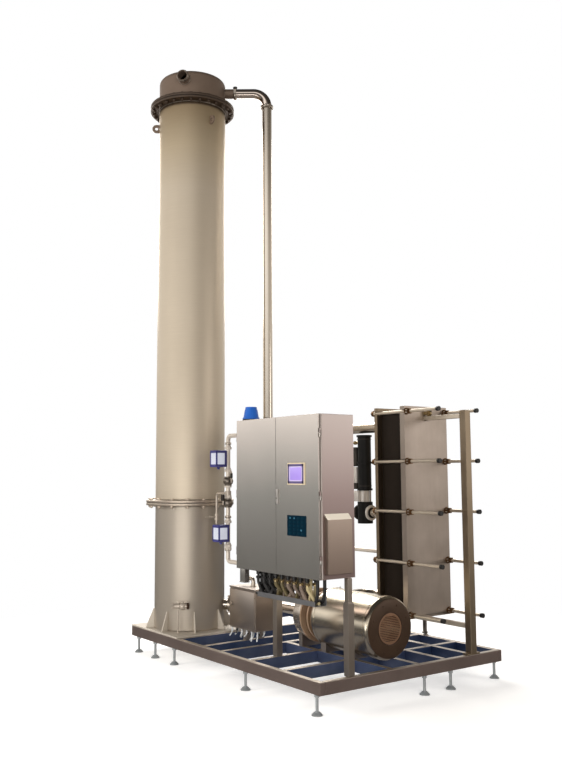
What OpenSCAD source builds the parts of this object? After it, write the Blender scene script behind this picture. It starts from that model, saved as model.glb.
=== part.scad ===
// Skid-mounted water deaerator: a stripping column, a plate heat exchanger, a pump and a control
// cabinet on one steel frame. Millimetres; X runs along the frame, Y across it to the back, Z up.
// The origin is the middle of the frame, on the floor.

/* [Skid frame] */
// Length of the column's bay, which is also the side of its square base plate
column_bay = 950; // [900:5:980]
// Distance from the column's bay to the gas box's beam
gas_bay = 440; // [430:5:480]
// Distance from the gas box's beam to the pump's beam
pump_bay = 300; // [285:5:330]
// Distance from the pump's beam to the left post's beam
post_bay = 480; // [460:5:520]
// Distance from the left post's beam to the heat exchanger's middle beam
exchanger_bay = 470; // [440:5:500]
// Distance from that beam to the right end
end_bay = 520; // [500:5:560]
// Distance across from the front edge to the pump's axis
front_bay = 910; // [880:5:940]
// Distance across from the pump's axis to the heat exchanger's middle
middle_bay = 797; // [770:1:860]
// Distance across from the heat exchanger's middle to the back edge
back_bay = 353; // [345:1:380]
// Height of the rectangular hollow section beams
beam_h = 100; // [80:5:140]
// Width of the beams
beam_w = 50; // [40:5:60]

/* [Levelling feet] */
// Height from the floor to the underside of the beams
foot_h = 155; // [110:5:200]
// Diameter of the foot pad
foot_pad_d = 86; // [70:2:110]
// Thickness of the pad's rim
foot_pad_rim = 8; // [5:1:14]
// Height of the pad's cone
foot_pad_h = 30; // [20:2:40]
// Diameter of the threaded rod
foot_rod_d = 24; // [16:1:30]
// Width across the corners of the lock nut
foot_nut_d = 42; // [36:1:48]
// Height of the lock nut
foot_nut_h = 20; // [14:1:26]
// Distance of the first foot from the left end, along the long sides
foot_left_1 = 120; // [80:5:160]
// Distance of the second foot from the left end
foot_left_2 = 480; // [440:5:520]
// Distance of the third foot from the left end
foot_left_3 = 870; // [830:5:910]
// Distance of the last foot but one from the right end
foot_right_2 = 1050; // [1000:5:1100]
// Distance of the last foot from the right end
foot_right_1 = 70; // [50:5:110]
// Distance of an end's rear foot from the back edge
foot_end_1 = 630; // [600:5:660]
// Distance of an end's front foot from the back edge
foot_end_2 = 940; // [900:5:980]

/* [Column] */
// Outside diameter of the shell
shell_d = 720; // [680:5:740]
// Wall of the shell
shell_t = 6; // [4:1:10]
// Width of a flange round the shell
flange_w = 95; // [80:5:105]
// Thickness of one flange
flange_t = 25; // [18:1:32]
// Thickness of a gasket
gasket_t = 4; // [2:1:6]
// Overhang of the flanges past the frame's left end and front
flange_overhang = 17; // [0:1:18]
// Thickness of the base plate
base_plate_t = 12; // [8:1:20]
// Height of the lower shell, from the base plate to the first flange
lower_shell_h = 1238; // [1150:2:1350]
// Height of the upper shell, between the flange pairs
upper_shell_h = 4206; // [3600:10:4600]
// Height of the cap over the top flange
cap_h = 290; // [250:5:340]
// Radius of the cap's rounded edge
cap_knuckle_r = 45; // [30:5:70]
// Number of gussets round the foot of the shell
gusset_n = 8; // [6:1:12]
// Height of a gusset
gusset_h = 190; // [140:5:240]
// Reach of a gusset along the base plate
gusset_w = 85; // [60:5:95]
// Thickness of a gusset
gusset_t = 10; // [6:1:14]
// Number of lifting lugs
lug_n = 3; // [2:1:4]
// Direction of the first lifting lug, from +X
lug_angle = -118; // [-130:1:-110]
// Height of a lifting lug's centre below the top flange
lug_drop = 190; // [150:5:260]
// Width of a lifting lug
lug_w = 90; // [70:5:110]
// Thickness of a lifting lug
lug_t = 14; // [10:1:20]
// Diameter of a lifting lug's eye
lug_eye_d = 34; // [24:1:40]
// Direction of the drain valve, from +X
drain_angle = -40; // [-50:1:-30]
// Height of the drain valve over the frame
drain_z = 270; // [240:5:300]
// Diameter of the drain valve's body
drain_d = 44; // [38:1:50]
// Length of the drain valve's body
drain_l = 150; // [130:5:170]
// Distance of the drain valve's body from the shell
drain_out = 68; // [60:2:80]
// Diameter of the drain tube
drain_tube_d = 16; // [12:1:20]

/* [Large pipework] */
// Outside diameter of the large pipes
pipe_d = 104; // [88:1:114]
// Wall of the large pipes
pipe_t = 3; // [2:0.5:5]
// Bend radius of the large pipes
bend_r = 150; // [115:5:160]
// Outside diameter of a pipe ferrule
ferrule_d = 119; // [117:1:130]
// Thickness of one ferrule
ferrule_t = 7; // [5:1:10]
// Radial thickness of a clamp ring
clamp_t = 9; // [6:1:14]
// Width of a clamp ring
clamp_w = 30; // [22:1:40]
// Direction of the vent nozzle, from +X
vent_angle = -44; // [-60:1:-20]
// Height of the vent nozzle's axis below the cap's top
vent_drop = 105; // [100:1:125]
// Projection of the vent nozzle from the cap
vent_l = 95; // [60:5:140]
// Thickness of the weld collar at the vent nozzle's root
vent_collar_t = 8; // [4:1:12]
// Radial size of that collar
vent_collar_w = 6; // [3:1:10]
// Direction of the riser from the column, from +X
riser_angle = 54; // [48:1:62]
// Height of the riser's top run below the cap's top
riser_drop = 115; // [105:1:130]
// Distance of the riser's axis from the shell
riser_out = 460; // [430:5:520]
// Depth that the column's stubs reach inside the shell
stub_in = 18; // [12:1:24]
// Projection of the cap's side outlet
cap_outlet_l = 110; // [80:5:130]
// Length of the suction line from the column's outlet to its first corner
suction_run = 225; // [200:5:260]
// Run of the suction line for each unit that it rises to the pump
suction_slope = 6; // [5:0.5:8]
// Height of the bottom outlet over the frame
outlet_z = 230; // [215:5:250]
// Projection of the bottom outlet from the shell
outlet_l = 60; // [40:5:80]

/* [Pump set] */
// Height of the pump's axis over the frame
pump_axis_z = 275; // [270:1:300]
// Diameter of the pump casing
casing_d = 440; // [400:5:470]
// Length of the pump casing
casing_l = 130; // [110:5:150]
// Distance of the casing's front behind the pump's beam
casing_set = 205; // [190:5:220]
// Width of the casing's bolted rim
casing_rim = 22; // [15:1:30]
// Thickness of that rim
casing_rim_t = 24; // [16:1:32]
// Length of the suction stub
suction_l = 45; // [30:5:60]
// Height of the discharge stub over the pump's axis
discharge_rise = 130; // [110:5:145]
// Reach of the discharge stub across Y
discharge_l = 260; // [255:5:290]
// Length of the adapter rings between the pump and the motor
adapter_l = 165; // [140:5:190]
// Diameter of the adapter between its rings
adapter_neck_d = 280; // [240:5:300]
// Step of the adapter's last ring inside the motor shroud's edge
adapter_step = 30; // [20:2:45]
// Thickness of an adapter ring
adapter_ring_t = 17; // [10:1:22]
// Diameter of the motor shroud
motor_d = 524; // [480:2:536]
// Length of the motor shroud
motor_l = 770; // [700:5:800]
// Radius of the shroud's rounded edges
motor_edge_r = 40; // [20:5:50]
// Diameter of the fan grille
grille_d = 256; // [220:2:300]
// Width of a slot in the fan grille
grille_slot = 6; // [4:1:8]
// Pitch of the slots in the fan grille
grille_pitch = 14; // [12:1:20]
// Thickness of the fan grille
grille_t = 6; // [4:1:10]
// Width of the ledge that the fan grille sits on
grille_ledge = 12; // [8:1:16]
// Depth of the hollow behind the fan grille
fan_room = 60; // [30:5:90]
// Spread of the two motor rails
rail_spread = 300; // [260:10:340]
// Distance of the first motor cradle's middle from the shroud's front
cradle_set = 90; // [80:5:130]
// Length along X of a motor cradle
cradle_l = 70; // [50:5:90]
// Height of the cradles over the frame
cradle_h = 90; // [70:5:110]
// Height of the pump casing's cradle over the frame
casing_cradle_h = 130; // [110:5:150]

/* [Gas box] */
// Width of the gas box
gas_w = 430; // [380:10:460]
// Depth of the gas box
gas_d = 260; // [220:10:280]
// Height of the gas box
gas_h = 390; // [340:10:420]
// Distance of its front face from the frame's front edge
gas_setback = 467; // [450:1:490]
// Height of its stand over the frame
gas_stand_h = 100; // [80:5:120]
// Overhang of its lid
gas_lid_lip = 8; // [4:1:14]
// Thickness of its lid
gas_lid_t = 14; // [8:1:20]

/* [Heat exchanger] */
// Distance of the frame plate's back face from the left post's beam
phe_step = 60; // [50:1:80]
// Width of the plates
phe_w = 554; // [500:2:580]
// Height of the guide bar's underside over the frame
guide_bar_z = 215; // [190:5:240]
// Height of the plates
phe_h = 1930; // [1700:10:2100]
// Thickness of the frame plate
frame_plate_t = 40; // [30:2:50]
// Thickness of the plate pack
pack_t = 310; // [270:5:330]
// Thickness of the pressure plate
pressure_plate_t = 60; // [40:2:65]
// Inset of the plate pack from the plates' edges
pack_inset = 58; // [52:2:80]
// Pitch of the plates that show at the pack's edge
pack_pitch = 10; // [8:1:16]
// Thickness of one plate's edge
pack_fin = 6; // [5:0.5:7]
// Depth of the gap between neighbouring plates at the pack's edge
pack_groove = 8; // [4:1:14]
// Diameter of a tie rod
rod_d = 30; // [24:1:34]
// Play of a rod in its slot
rod_slack = 2; // [1:0.5:4]
// Inset of the rods from the plates' edges
rod_inset = 28; // [24:1:32]
// Number of rod levels
rod_levels = 5; // [4:1:6]
// Height of the lowest rods over the plates' lower edge
rod_foot = 36; // [30:1:60]
// Distance of the highest rods below the plates' upper edge
rod_head = 50; // [40:1:70]
// Length of the rods past the frame plate
rod_tail = 50; // [40:2:70]
// Length of the rods past the pressure plate
rod_reach = 385; // [300:5:400]
// Width across the corners of a rod nut
rod_nut_d = 54; // [46:1:56]
// Thickness of a rod nut
rod_nut_t = 28; // [20:1:34]
// Length of a rod's end cap
rod_cap_l = 30; // [20:1:40]
// Diameter of a rod's end cap
rod_cap_d = 42; // [36:1:48]
// Height of the carrying bar and of the guide bar
bar_h = 40; // [30:2:50]
// Width of the carrying bar and of the guide bar
bar_w = 40; // [30:2:50]
// Play round the carrying bar in the plates
bar_room = 2; // [1:0.5:4]
// Distance of the carrying bar's top below the plates' upper edge
bar_drop = 90; // [80:2:110]
// Diameter of the pressure plate's roller
roller_d = 56; // [46:2:64]
// Width of the roller
roller_w = 24; // [18:2:32]
// Distance of the roller's pin from the pressure plate
roller_out = 42; // [36:1:50]
// Thickness of the roller's fork
fork_t = 8; // [5:1:12]
// Side of the end post
post_w = 70; // [60:5:80]
// Height of the end post over the carrying bar
post_head = 30; // [10:5:50]
// Length across of the end post's foot plate
post_foot_l = 150; // [110:5:180]
// Thickness of that plate
post_foot_t = 14; // [8:1:20]
// Height of the bracket that carries a corner of the frame plate
foot_bracket_h = 36; // [28:2:44]
// Place across Y of a port from the plates' middle
port_offset = 147; // [130:1:150]
// Height of the upper ports over the frame
port_high = 2012; // [1990:2:2030]
// Diameter of the collar round a port
port_collar_d = 166; // [150:2:180]
// Thickness of that collar
port_collar_t = 22; // [16:1:30]

/* [Cabinet] */
// Inset of the cabinet's right side from the frame's right end
cab_inset = 32; // [30:1:80]
// Inset of the doors' front face from the frame's front edge
cab_setback = 30; // [25:1:70]
// Width of the cabinet
cab_w = 1165; // [1080:5:1200]
// Depth of the cabinet with its doors
cab_d = 360; // [320:5:380]
// Height of the cabinet
cab_h = 1285; // [1150:5:1350]
// Height of the cabinet's floor over the frame
cab_z = 750; // [700:5:800]
// Wall of the cabinet
cab_t = 3; // [2:0.5:4]
// Thickness of a door
door_t = 22; // [18:1:28]
// Sheet of a door
door_sheet = 3; // [2:0.5:4]
// Width of a door's folded edge
door_fold = 24; // [16:2:34]
// Gap between a door and its neighbours
door_gap = 5; // [5:0.5:8]
// Width of the left door
left_door_w = 592; // [540:2:620]
// Distance of a hinge axis outside the door's edge
hinge_out = 10; // [10:0.5:12]
// Radius of a hinge knuckle
knuckle_r = 7; // [6:0.5:8]
// Radius of a hinge pin
hinge_pin_r = 4; // [3:0.5:4.5]
// Length of one hinge knuckle
knuckle_l = 34; // [24:2:44]
// Thickness of a hinge leaf
hinge_leaf_t = 4; // [3:0.5:5]
// Width of a hinge leaf
hinge_leaf_w = 24; // [18:1:26]
// Distance of the outer hinges from a door's ends
hinge_end = 150; // [100:10:200]
// Thickness of the mounting plate
mount_plate_t = 4; // [3:0.5:6]
// Length of the mounting plate's standoffs
standoff_l = 22; // [15:1:30]
// Diameter of the standoffs
standoff_d = 16; // [12:1:24]
// Gap between the mounting plate and the cabinet's walls
mount_plate_margin = 60; // [40:5:90]

/* [Cabinet fittings] */
// Height of the swing handle
handle_h = 190; // [150:5:230]
// Width of the swing handle
handle_w = 26; // [20:1:32]
// Stand-off of the swing handle from the door
handle_out = 18; // [12:1:24]
// Height of the swing handle's grip
handle_grip_h = 152; // [110:2:180]
// Height of the handle's middle over the frame
handle_z = 1370; // [1300:5:1420]
// Width of the operator display
display_w = 228; // [200:2:250]
// Height of the operator display
display_h = 176; // [150:2:200]
// Height of the operator display's middle over the frame
display_z = 1565; // [1520:5:1600]
// Thickness of the display's bezel
bezel_t = 8; // [5:1:12]
// Width of the display's bezel
bezel_w = 22; // [14:1:30]
// Width of the key panel
keys_w = 250; // [220:2:270]
// Height of the key panel
keys_h = 164; // [140:2:190]
// Height of the key panel's middle over the frame
keys_z = 1152; // [1100:5:1200]
// Thickness of the key panel
keys_t = 4; // [3:0.5:8]
// Distance of the panels' middle from the right door's outer edge
panel_inset = 284; // [250:2:300]
// Depth that the side cover stands out
cover_t = 45; // [30:1:46]
// Width of the side cover
cover_w = 246; // [200:2:260]
// Height of the side cover
cover_h = 464; // [400:4:500]
// Distance of the side cover from the doors' front
cover_inset = 54; // [50:1:70]
// Height of the side cover's foot over the cabinet's floor
cover_foot = 40; // [20:5:60]
// Diameter of the beacon's lens
beacon_d = 140; // [120:2:142]
// Height of the beacon's lens
beacon_h = 108; // [90:2:130]
// Diameter of the beacon's lens at its top
beacon_top_d = 100; // [80:2:110]
// Height of the beacon's base
beacon_base_h = 14; // [8:1:20]
// Lip of the beacon's base round the lens
beacon_base_lip = 5; // [3:1:9]
// Distance of the beacon from the cabinet's left side
beacon_x_inset = 76; // [76:2:110]
// Distance of the beacon from the doors' front
beacon_y_inset = 104; // [104:2:160]
// Side of the lower cabinet posts
stand_w = 60; // [50:2:70]
// Height of the lower posts over the frame
stand_h = 560; // [500:5:620]
// Side of the upper legs
leg_w = 44; // [36:2:48]
// Distance of the posts' middle behind the doors' front
stand_setback = 290; // [270:5:300]
// Inset of the right post's middle from the end of the frame
stand_right_inset = 35; // [30:1:40]
// Number of cable glands in a row under the cabinet
gland_n = 9; // [6:1:11]
// Pitch of the glands along the row
gland_pitch = 86; // [70:1:90]
// Distance of the first gland from the cabinet's left side
gland_inset = 200; // [160:5:220]
// Distance of the front row from the doors' front
gland_front = 95; // [80:5:110]
// Distance between the two rows
gland_row = 80; // [65:5:95]
// Width across the corners of a gland's nut
gland_d = 46; // [36:1:50]
// Height of a gland's nut
gland_nut_h = 18; // [12:1:24]
// Length of a gland under the cabinet's floor
gland_l = 58; // [40:2:70]

/* [Cable tray] */
// Length of the tray under the cabinet
tray_l = 800; // [700:10:900]
// Width of the tray
tray_w = 120; // [90:2:140]
// Height of the tray's sides
tray_h = 40; // [30:2:60]
// Thickness of the tray's sheet
tray_t = 3; // [2:1:5]
// Distance of the tray's left end from the cabinet's left side
tray_inset = 177; // [150:1:185]
// Distance of the tray's front from the doors' front
tray_front = 100; // [80:5:110]
// Distance of the tray's sides below the cabinet's floor
tray_drop = 190; // [150:5:200]
// Width of the tray's bracket and of its hanger
tray_strap_w = 40; // [30:2:50]

/* [Metering line] */
// Outside diameter of the small pipes
meter_pipe_d = 42; // [34:1:48]
// Bend radius of the small pipes
meter_bend_r = 46; // [40:2:48]
// Distance of the upright metering pipe from the column's bay
meter_step = 230; // [220:5:245]
// Height of the top run over the frame
meter_top = 1940; // [1910:5:1960]
// Height of the bottom run over the frame
meter_bottom = 720; // [700:5:740]
// Rise from the bottom run to the run behind the cabinet
meter_rise = 100; // [98:1:130]
// Distance of the upright runs behind the cabinet from the pump's cross beam
meter_back = 60; // [40:5:80]
// Height of the loop that drops into the riser's run
meter_loop = 80; // [70:2:90]
// Length of that loop
meter_loop_l = 230; // [200:5:260]
// Height of the lower flow meter over the frame
meter_low_z = 994; // [970:2:1010]
// Height of the upper flow meter over the frame
meter_high_z = 1716; // [1690:2:1740]
// Shift of the upper flow meter's head towards the column
meter_high_shift = 50; // [30:2:54]
// Radial thickness of a clamp on the small pipes
meter_clamp_t = 9; // [6:1:12]
// Width of such a clamp
meter_clamp_w = 24; // [18:1:30]
// Height of the lowest clamp over the frame
meter_clamp_1 = 834; // [820:2:850]
// Height of the middle clamp over the frame
meter_clamp_2 = 1149; // [1130:2:1170]
// Distance of the highest clamp below the top run
meter_clamp_3 = 75; // [66:1:90]
// Height of the lower hand valve over the frame
hand_valve_1 = 1284; // [1260:2:1300]
// Height of the upper hand valve over the frame
hand_valve_2 = 1497; // [1480:2:1520]
// Diameter of a hand valve's body
hand_valve_d = 86; // [76:2:94]
// Width of a hand valve's body
hand_valve_w = 42; // [34:2:50]
// Length of a hand valve's lever
lever_l = 110; // [90:5:130]
// Width of a lever
lever_w = 18; // [14:1:22]
// Thickness of a lever
lever_t = 6; // [4:1:8]
// Diameter of a valve's stem
stem_d = 16; // [12:1:20]
// Height of the sample line's run over the frame
tap_run_z = 1377; // [1360:1:1400]
// Distance of the sample tap from the upright metering pipe
tap_step = 214; // [205:1:222]
// Height of the sample tap over the frame
tap_z = 1110; // [1090:2:1130]
// Diameter of the sample line
tap_pipe_d = 22; // [16:1:26]
// Bend radius of the sample line
tap_bend_r = 40; // [30:2:50]
// Diameter of the sample tap's body
tap_d = 40; // [34:1:48]
// Length of the sample tap's body
tap_l = 62; // [50:2:74]
// Width of a flow meter's head
meter_head_w = 130; // [112:2:140]
// Depth of a flow meter's head
meter_head_d = 120; // [100:2:130]
// Height of a flow meter's head
meter_head_h = 165; // [140:1:180]

/* [Control valve] */
// Outside diameter of the valve's pipe
branch_d = 76; // [60:1:80]
// Bend radius of the valve's pipe
branch_bend_r = 115; // [90:5:120]
// Height of the valve's axis over the frame
valve_z = 1182; // [1160:2:1200]
// Diameter of the valve's actuator
actuator_d = 132; // [110:2:140]
// Length of the actuator
actuator_l = 545; // [500:5:550]
// Width of the valve's body
valve_w = 200; // [160:5:220]
// Diameter of the valve's body
valve_body_d = 150; // [140:2:164]
// Height of the valve's body
valve_body_h = 210; // [180:5:230]
// Diameter of the valve's two ends
valve_end_d = 104; // [90:2:120]
// Diameter of the valve's bonnet
bonnet_d = 62; // [50:2:70]
// Height of the actuator's foot over the valve's axis
bonnet_h = 216; // [190:2:220]
// Number of pillars that carry the actuator
pillar_n = 4; // [3:1:6]
// Diameter of a pillar
pillar_d = 16; // [12:1:20]
// Radius of the ring of pillars
pillar_ring = 54; // [48:1:55]
// Diameter of the actuator's end flanges
actuator_rim_d = 152; // [142:2:164]
// Thickness of those flanges
actuator_rim_t = 20; // [14:1:26]
// Distance of the valve from the frame plate
valve_gap = 200; // [180:5:230]
// Distance of the branch's tee from the pump's beam
tee_step = 260; // [240:5:290]

/* [Hidden] */
$fn = 64;
seat = 0.3;
run_fit = 0.05;
cut = 1;
bend_step = 0.5;
let_in = 2;

skid_l = column_bay + gas_bay + pump_bay + post_bay + exchanger_bay + end_bay;
skid_w = front_bay + middle_bay + back_bay;
skid_top = foot_h + beam_h;
half_l = skid_l / 2;
half_w = skid_w / 2;
gas_x = column_bay + gas_bay - half_l;
pump_beam_x = gas_x + pump_bay;
stand_left_x = pump_beam_x + post_bay;
mid_beam_x = stand_left_x + exchanger_bay;
pump_y = front_bay - half_w;
phe_y = half_w - back_bay;
phe_x = stand_left_x + phe_step;

flange_d = shell_d + 2 * flange_w;
col_x = -half_l - flange_overhang + flange_d / 2;
col_y = -half_w - flange_overhang + flange_d / 2;
base_beam_x = -half_l + column_bay;
base_beam_y = -half_w + column_bay;
base_top = skid_top + base_plate_t;
mid_flange_z = base_top + lower_shell_h;
upper_shell_z = mid_flange_z + 2 * flange_t + gasket_t;
top_flange_z = upper_shell_z + upper_shell_h;
cap_z = top_flange_z + 2 * flange_t + gasket_t;
column_top = cap_z + cap_h;

vent_z = column_top - vent_drop;
riser_z = column_top - riser_drop;
riser_reach = shell_d / 2 + riser_out;
riser_x = col_x + riser_reach * cos(riser_angle);
riser_y = col_y + riser_reach * sin(riser_angle);
suction_reach = shell_d / 2 + outlet_l + suction_run;
outlet_angle = asin((pump_y - col_y) / suction_reach);

guide_bar_top = skid_top + guide_bar_z + bar_h;
phe_z = guide_bar_top;
phe_top = phe_z + phe_h;
phe_near = phe_y - phe_w / 2;
phe_far = phe_y + phe_w / 2;
pack_x = phe_x + frame_plate_t;
pressure_x = pack_x + pack_t;
pressure_end = pressure_x + pressure_plate_t;
rod_end = pressure_end + rod_reach;
carry_bar_z = phe_top - bar_drop - bar_h;
end_post_x = half_l - post_w / 2 - seat;
foot_far_y = half_w - beam_w / 2;
foot_near_y = 2 * phe_y - foot_far_y;
port_y = phe_y - port_offset;

pump_z = skid_top + pump_axis_z;
casing_x = pump_beam_x + casing_set;
adapter_x = casing_x + casing_l;
motor_x = adapter_x + adapter_l;
motor_end = motor_x + motor_l;
rail_ys = [pump_y - rail_spread / 2, pump_y + rail_spread / 2];
discharge_x = casing_x + casing_l / 2;
discharge_z = pump_z + discharge_rise;

cab_right_x = half_l - cab_inset;
cab_front_y = cab_setback - half_w;
cab_left_x = cab_right_x - cab_w;
cab_back_y = cab_front_y + cab_d;
cab_floor_z = skid_top + cab_z;
cab_top = cab_floor_z + cab_h;
door_back_y = cab_front_y + door_t;
body_front_y = door_back_y + door_gap;
split_left = cab_left_x + left_door_w;
split_right = split_left + door_gap;
hinge_y = cab_front_y + door_t / 2;
hinge_zs = [cab_floor_z + hinge_end, cab_floor_z + cab_h / 2, cab_top - hinge_end];
panel_x = cab_right_x - panel_inset;
stand_top = skid_top + stand_h;
stand_right_x = half_l - stand_right_inset;
stand_y = cab_front_y + stand_setback;
gas_front_y = gas_setback - half_w;
meter_x = base_beam_x + meter_step;
meter_y = col_y;
meter_clamp_zs = [meter_clamp_1, meter_clamp_2, meter_top - meter_clamp_3];

cross_beam_xs = [base_beam_x, gas_x, pump_beam_x, stand_left_x, mid_beam_x];

function unit(v) = v / norm(v);
function turn(a, b) = acos(max(-1, min(1, a * b)));
function lead(a, b, r) = r * tan(turn(a, b) / 2);

module slab(low, high) {
    translate(low) cube(high - low);
}

module bar_between(p, q, d) {
    v = q - p;
    translate(p) rotate([0, acos(v.z / norm(v)), atan2(v.y, v.x)]) cylinder(d = d, h = norm(v));
}

// A bend, a little thicker than the straight pipes that are let into its ends
module pipe_bend(corner, a, b, r, d) {
    n = unit(b - (b * a) * a);
    axis = cross(a, n);
    middle = corner - a * lead(a, b, r) + n * r;
    multmatrix([[-n.x, a.x, axis.x, middle.x], [-n.y, a.y, axis.y, middle.y],
        [-n.z, a.z, axis.z, middle.z], [0, 0, 0, 1]])
        rotate_extrude(angle = turn(a, b)) translate([r, 0]) circle(d = d + 2 * bend_step);
}

// A bent pipe through a list of points
module pipe_run(points, d, r) {
    last = len(points) - 1;
    ways = [for (i = [0:last - 1]) unit(points[i + 1] - points[i])];
    for (i = [0:last - 1]) {
        start = i == 0 ? points[0] : points[i] + ways[i] * (lead(ways[i - 1], ways[i], r) - let_in);
        end = i == last - 1 ? points[last]
            : points[i + 1] - ways[i] * (lead(ways[i], ways[i + 1], r) - let_in);
        bar_between(start, end, d);
    }
    for (i = [1:1:last - 1]) pipe_bend(points[i], ways[i - 1], ways[i], r, d);
}

// A ferrule that ends at a point, on a pipe that comes along a direction
module ferrule(at, way) {
    bar_between(at - way * ferrule_t, at, ferrule_d);
}

// Where a pipe that ends in a ferrule stops, inside it
function in_ferrule(at, way) = at - way * ferrule_t / 2;

module ring(outer, inner, h) {
    difference() {
        cylinder(d = outer, h = h);
        translate([0, 0, -cut]) cylinder(d = inner, h = h + 2 * cut);
    }
}

// Skid

module long_beams() {
    color("dimgray") for (side = [-1, 1])
        translate([-half_l, side * (half_w - beam_w / 2) - beam_w / 2, foot_h]) cube([skid_l, beam_w, beam_h]);
}

module end_beams() {
    color("dimgray") for (side = [-1, 1])
        translate([side * (half_l - beam_w / 2) - beam_w / 2, -half_w + beam_w, foot_h])
            cube([beam_w, skid_w - 2 * beam_w, beam_h]);
}

module cross_beams() {
    color("gray") for (x = cross_beam_xs)
        translate([x - beam_w / 2, -half_w + beam_w, foot_h]) cube([beam_w, skid_w - 2 * beam_w, beam_h]);
}

// A beam along X between two beams that run across
module stringer(x_from, x_to, y) {
    slab([x_from + beam_w / 2, y - beam_w / 2, foot_h], [x_to - beam_w / 2, y + beam_w / 2, skid_top]);
}

module stringers() {
    right_end = half_l - beam_w / 2;
    color("gray") {
        stringer(-half_l + beam_w / 2, base_beam_x, base_beam_y);
        for (y = rail_ys) {
            stringer(pump_beam_x, stand_left_x, y);
            stringer(stand_left_x, mid_beam_x, y);
            stringer(mid_beam_x, right_end, y);
        }
        for (y = [foot_near_y, phe_y]) {
            stringer(stand_left_x, mid_beam_x, y);
            stringer(mid_beam_x, right_end, y);
        }
    }
}

module levelling_foot() {
    rotate_extrude() polygon([[0, 0], [foot_pad_d / 2, 0], [foot_pad_d / 2, foot_pad_rim],
        [foot_nut_d / 2, foot_pad_h], [0, foot_pad_h]]);
    cylinder(d = foot_rod_d, h = foot_h);
    translate([0, 0, foot_h - foot_nut_h]) cylinder(d = foot_nut_d, h = foot_nut_h, $fn = 6);
}

module skid_feet() {
    xs = concat([for (x = [foot_left_1, foot_left_2, foot_left_3]) -half_l + x],
        [for (x = [foot_right_1, foot_right_2]) half_l - x]);
    color("silver") {
        for (x = xs, side = [-1, 1]) translate([x, side * (half_w - beam_w / 2), 0]) levelling_foot();
        for (y = [foot_end_1, foot_end_2], side = [-1, 1])
            translate([side * (half_l - beam_w / 2), half_w - y, 0]) levelling_foot();
    }
}

// Column

module at_column(z) {
    translate([col_x, col_y, z]) children();
}

module column_base() {
    color("silver") slab([-half_l, -half_w, skid_top], [base_beam_x, base_beam_y, base_top]);
}

module column_gussets() {
    color("silver") at_column(base_top) for (i = [0:gusset_n - 1])
        rotate([0, 0, (i + 0.5) * 360 / gusset_n]) translate([shell_d / 2 + seat, gusset_t / 2, 0])
            rotate([90, 0, 0]) linear_extrude(gusset_t)
                polygon([[0, 0], [gusset_w, 0], [gusset_w, gusset_t], [gusset_t, gusset_h], [0, gusset_h]]);
}

module lower_shell() {
    color("silver") difference() {
        at_column(base_top) ring(shell_d, shell_d - 2 * shell_t, lower_shell_h);
        outlet_hole();
    }
}

module middle_flanges() {
    color("silver") for (z = [0, flange_t + gasket_t])
        at_column(mid_flange_z + z) ring(flange_d, shell_d - 2 * shell_t, flange_t);
}

module upper_shell() {
    color("silver") at_column(upper_shell_z) ring(shell_d, shell_d - 2 * shell_t, upper_shell_h);
}

module top_flanges() {
    color("silver") for (z = [0, flange_t + gasket_t])
        at_column(top_flange_z + z) ring(flange_d, shell_d - 2 * shell_t, flange_t);
}

module flange_gaskets() {
    color("black") for (z = [mid_flange_z, top_flange_z])
        at_column(z + flange_t) ring(flange_d - 2 * gasket_t, shell_d - 2 * shell_t, gasket_t);
}

// Half outline of the cap: a straight wall with a rounded upper edge
module cap_outline(r, h, knuckle) {
    square([r - knuckle, h]);
    square([r, h - knuckle]);
    translate([r - knuckle, h - knuckle]) circle(r = knuckle);
}

module column_cap() {
    color("silver") difference() {
        at_column(cap_z) rotate_extrude() intersection() {
            difference() {
                cap_outline(shell_d / 2, cap_h, cap_knuckle_r);
                translate([0, -cut]) cap_outline(shell_d / 2 - shell_t, cap_h - shell_t + cut, cap_knuckle_r - shell_t);
            }
            square([shell_d, cap_h]);
        }
        radial_bore(vent_angle, vent_z);
        radial_bore(riser_angle, riser_z);
    }
}

// Hole through the column's wall for a pipe that is set into it
module radial_bore(angle, z) {
    at_column(z) rotate([0, 0, angle]) rotate([0, 90, 0])
        cylinder(d = pipe_d + 2 * seat, h = shell_d);
}

// A pipe set into the column's wall, from just inside it
module radial_stub(angle, z, length) {
    inner = shell_d / 2 - shell_t - stub_in;
    at_column(z) rotate([0, 0, angle]) translate([inner, 0, 0]) rotate([0, 90, 0])
        ring(pipe_d, pipe_d - 2 * pipe_t, shell_d / 2 + length - inner);
}

module radial_ferrule(angle, z, reach) {
    at_column(z) rotate([0, 0, angle]) translate([reach - ferrule_t, 0, 0]) rotate([0, 90, 0])
        ring(ferrule_d, pipe_d - 2 * pipe_t, ferrule_t);
}

module vent_nozzle() {
    color("silver") {
        radial_stub(vent_angle, vent_z, vent_l);
        at_column(vent_z) rotate([0, 0, vent_angle]) translate([shell_d / 2 + seat, 0, 0]) rotate([0, 90, 0])
            ring(pipe_d + 2 * vent_collar_w, pipe_d - pipe_t, vent_collar_t);
    }
}

module cap_outlet() {
    color("silver") {
        radial_stub(riser_angle, riser_z, cap_outlet_l);
        radial_ferrule(riser_angle, riser_z, shell_d / 2 + cap_outlet_l);
    }
}

module lifting_lugs() {
    color("silver") for (i = [0:lug_n - 1]) at_column(top_flange_z - lug_drop)
        rotate([0, 0, lug_angle + i * 360 / lug_n]) translate([shell_d / 2 + seat, lug_t / 2, 0]) rotate([90, 0, 0])
            linear_extrude(lug_t) difference() {
                union() {
                    translate([0, -lug_w / 2]) square([lug_w / 3, lug_w]);
                    translate([lug_w / 3, 0]) circle(d = lug_w);
                }
                translate([-lug_w, -lug_w]) square([lug_w, 2 * lug_w]);
                translate([lug_w / 3, 0]) circle(d = lug_eye_d);
            }
}

// Large pipework

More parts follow.
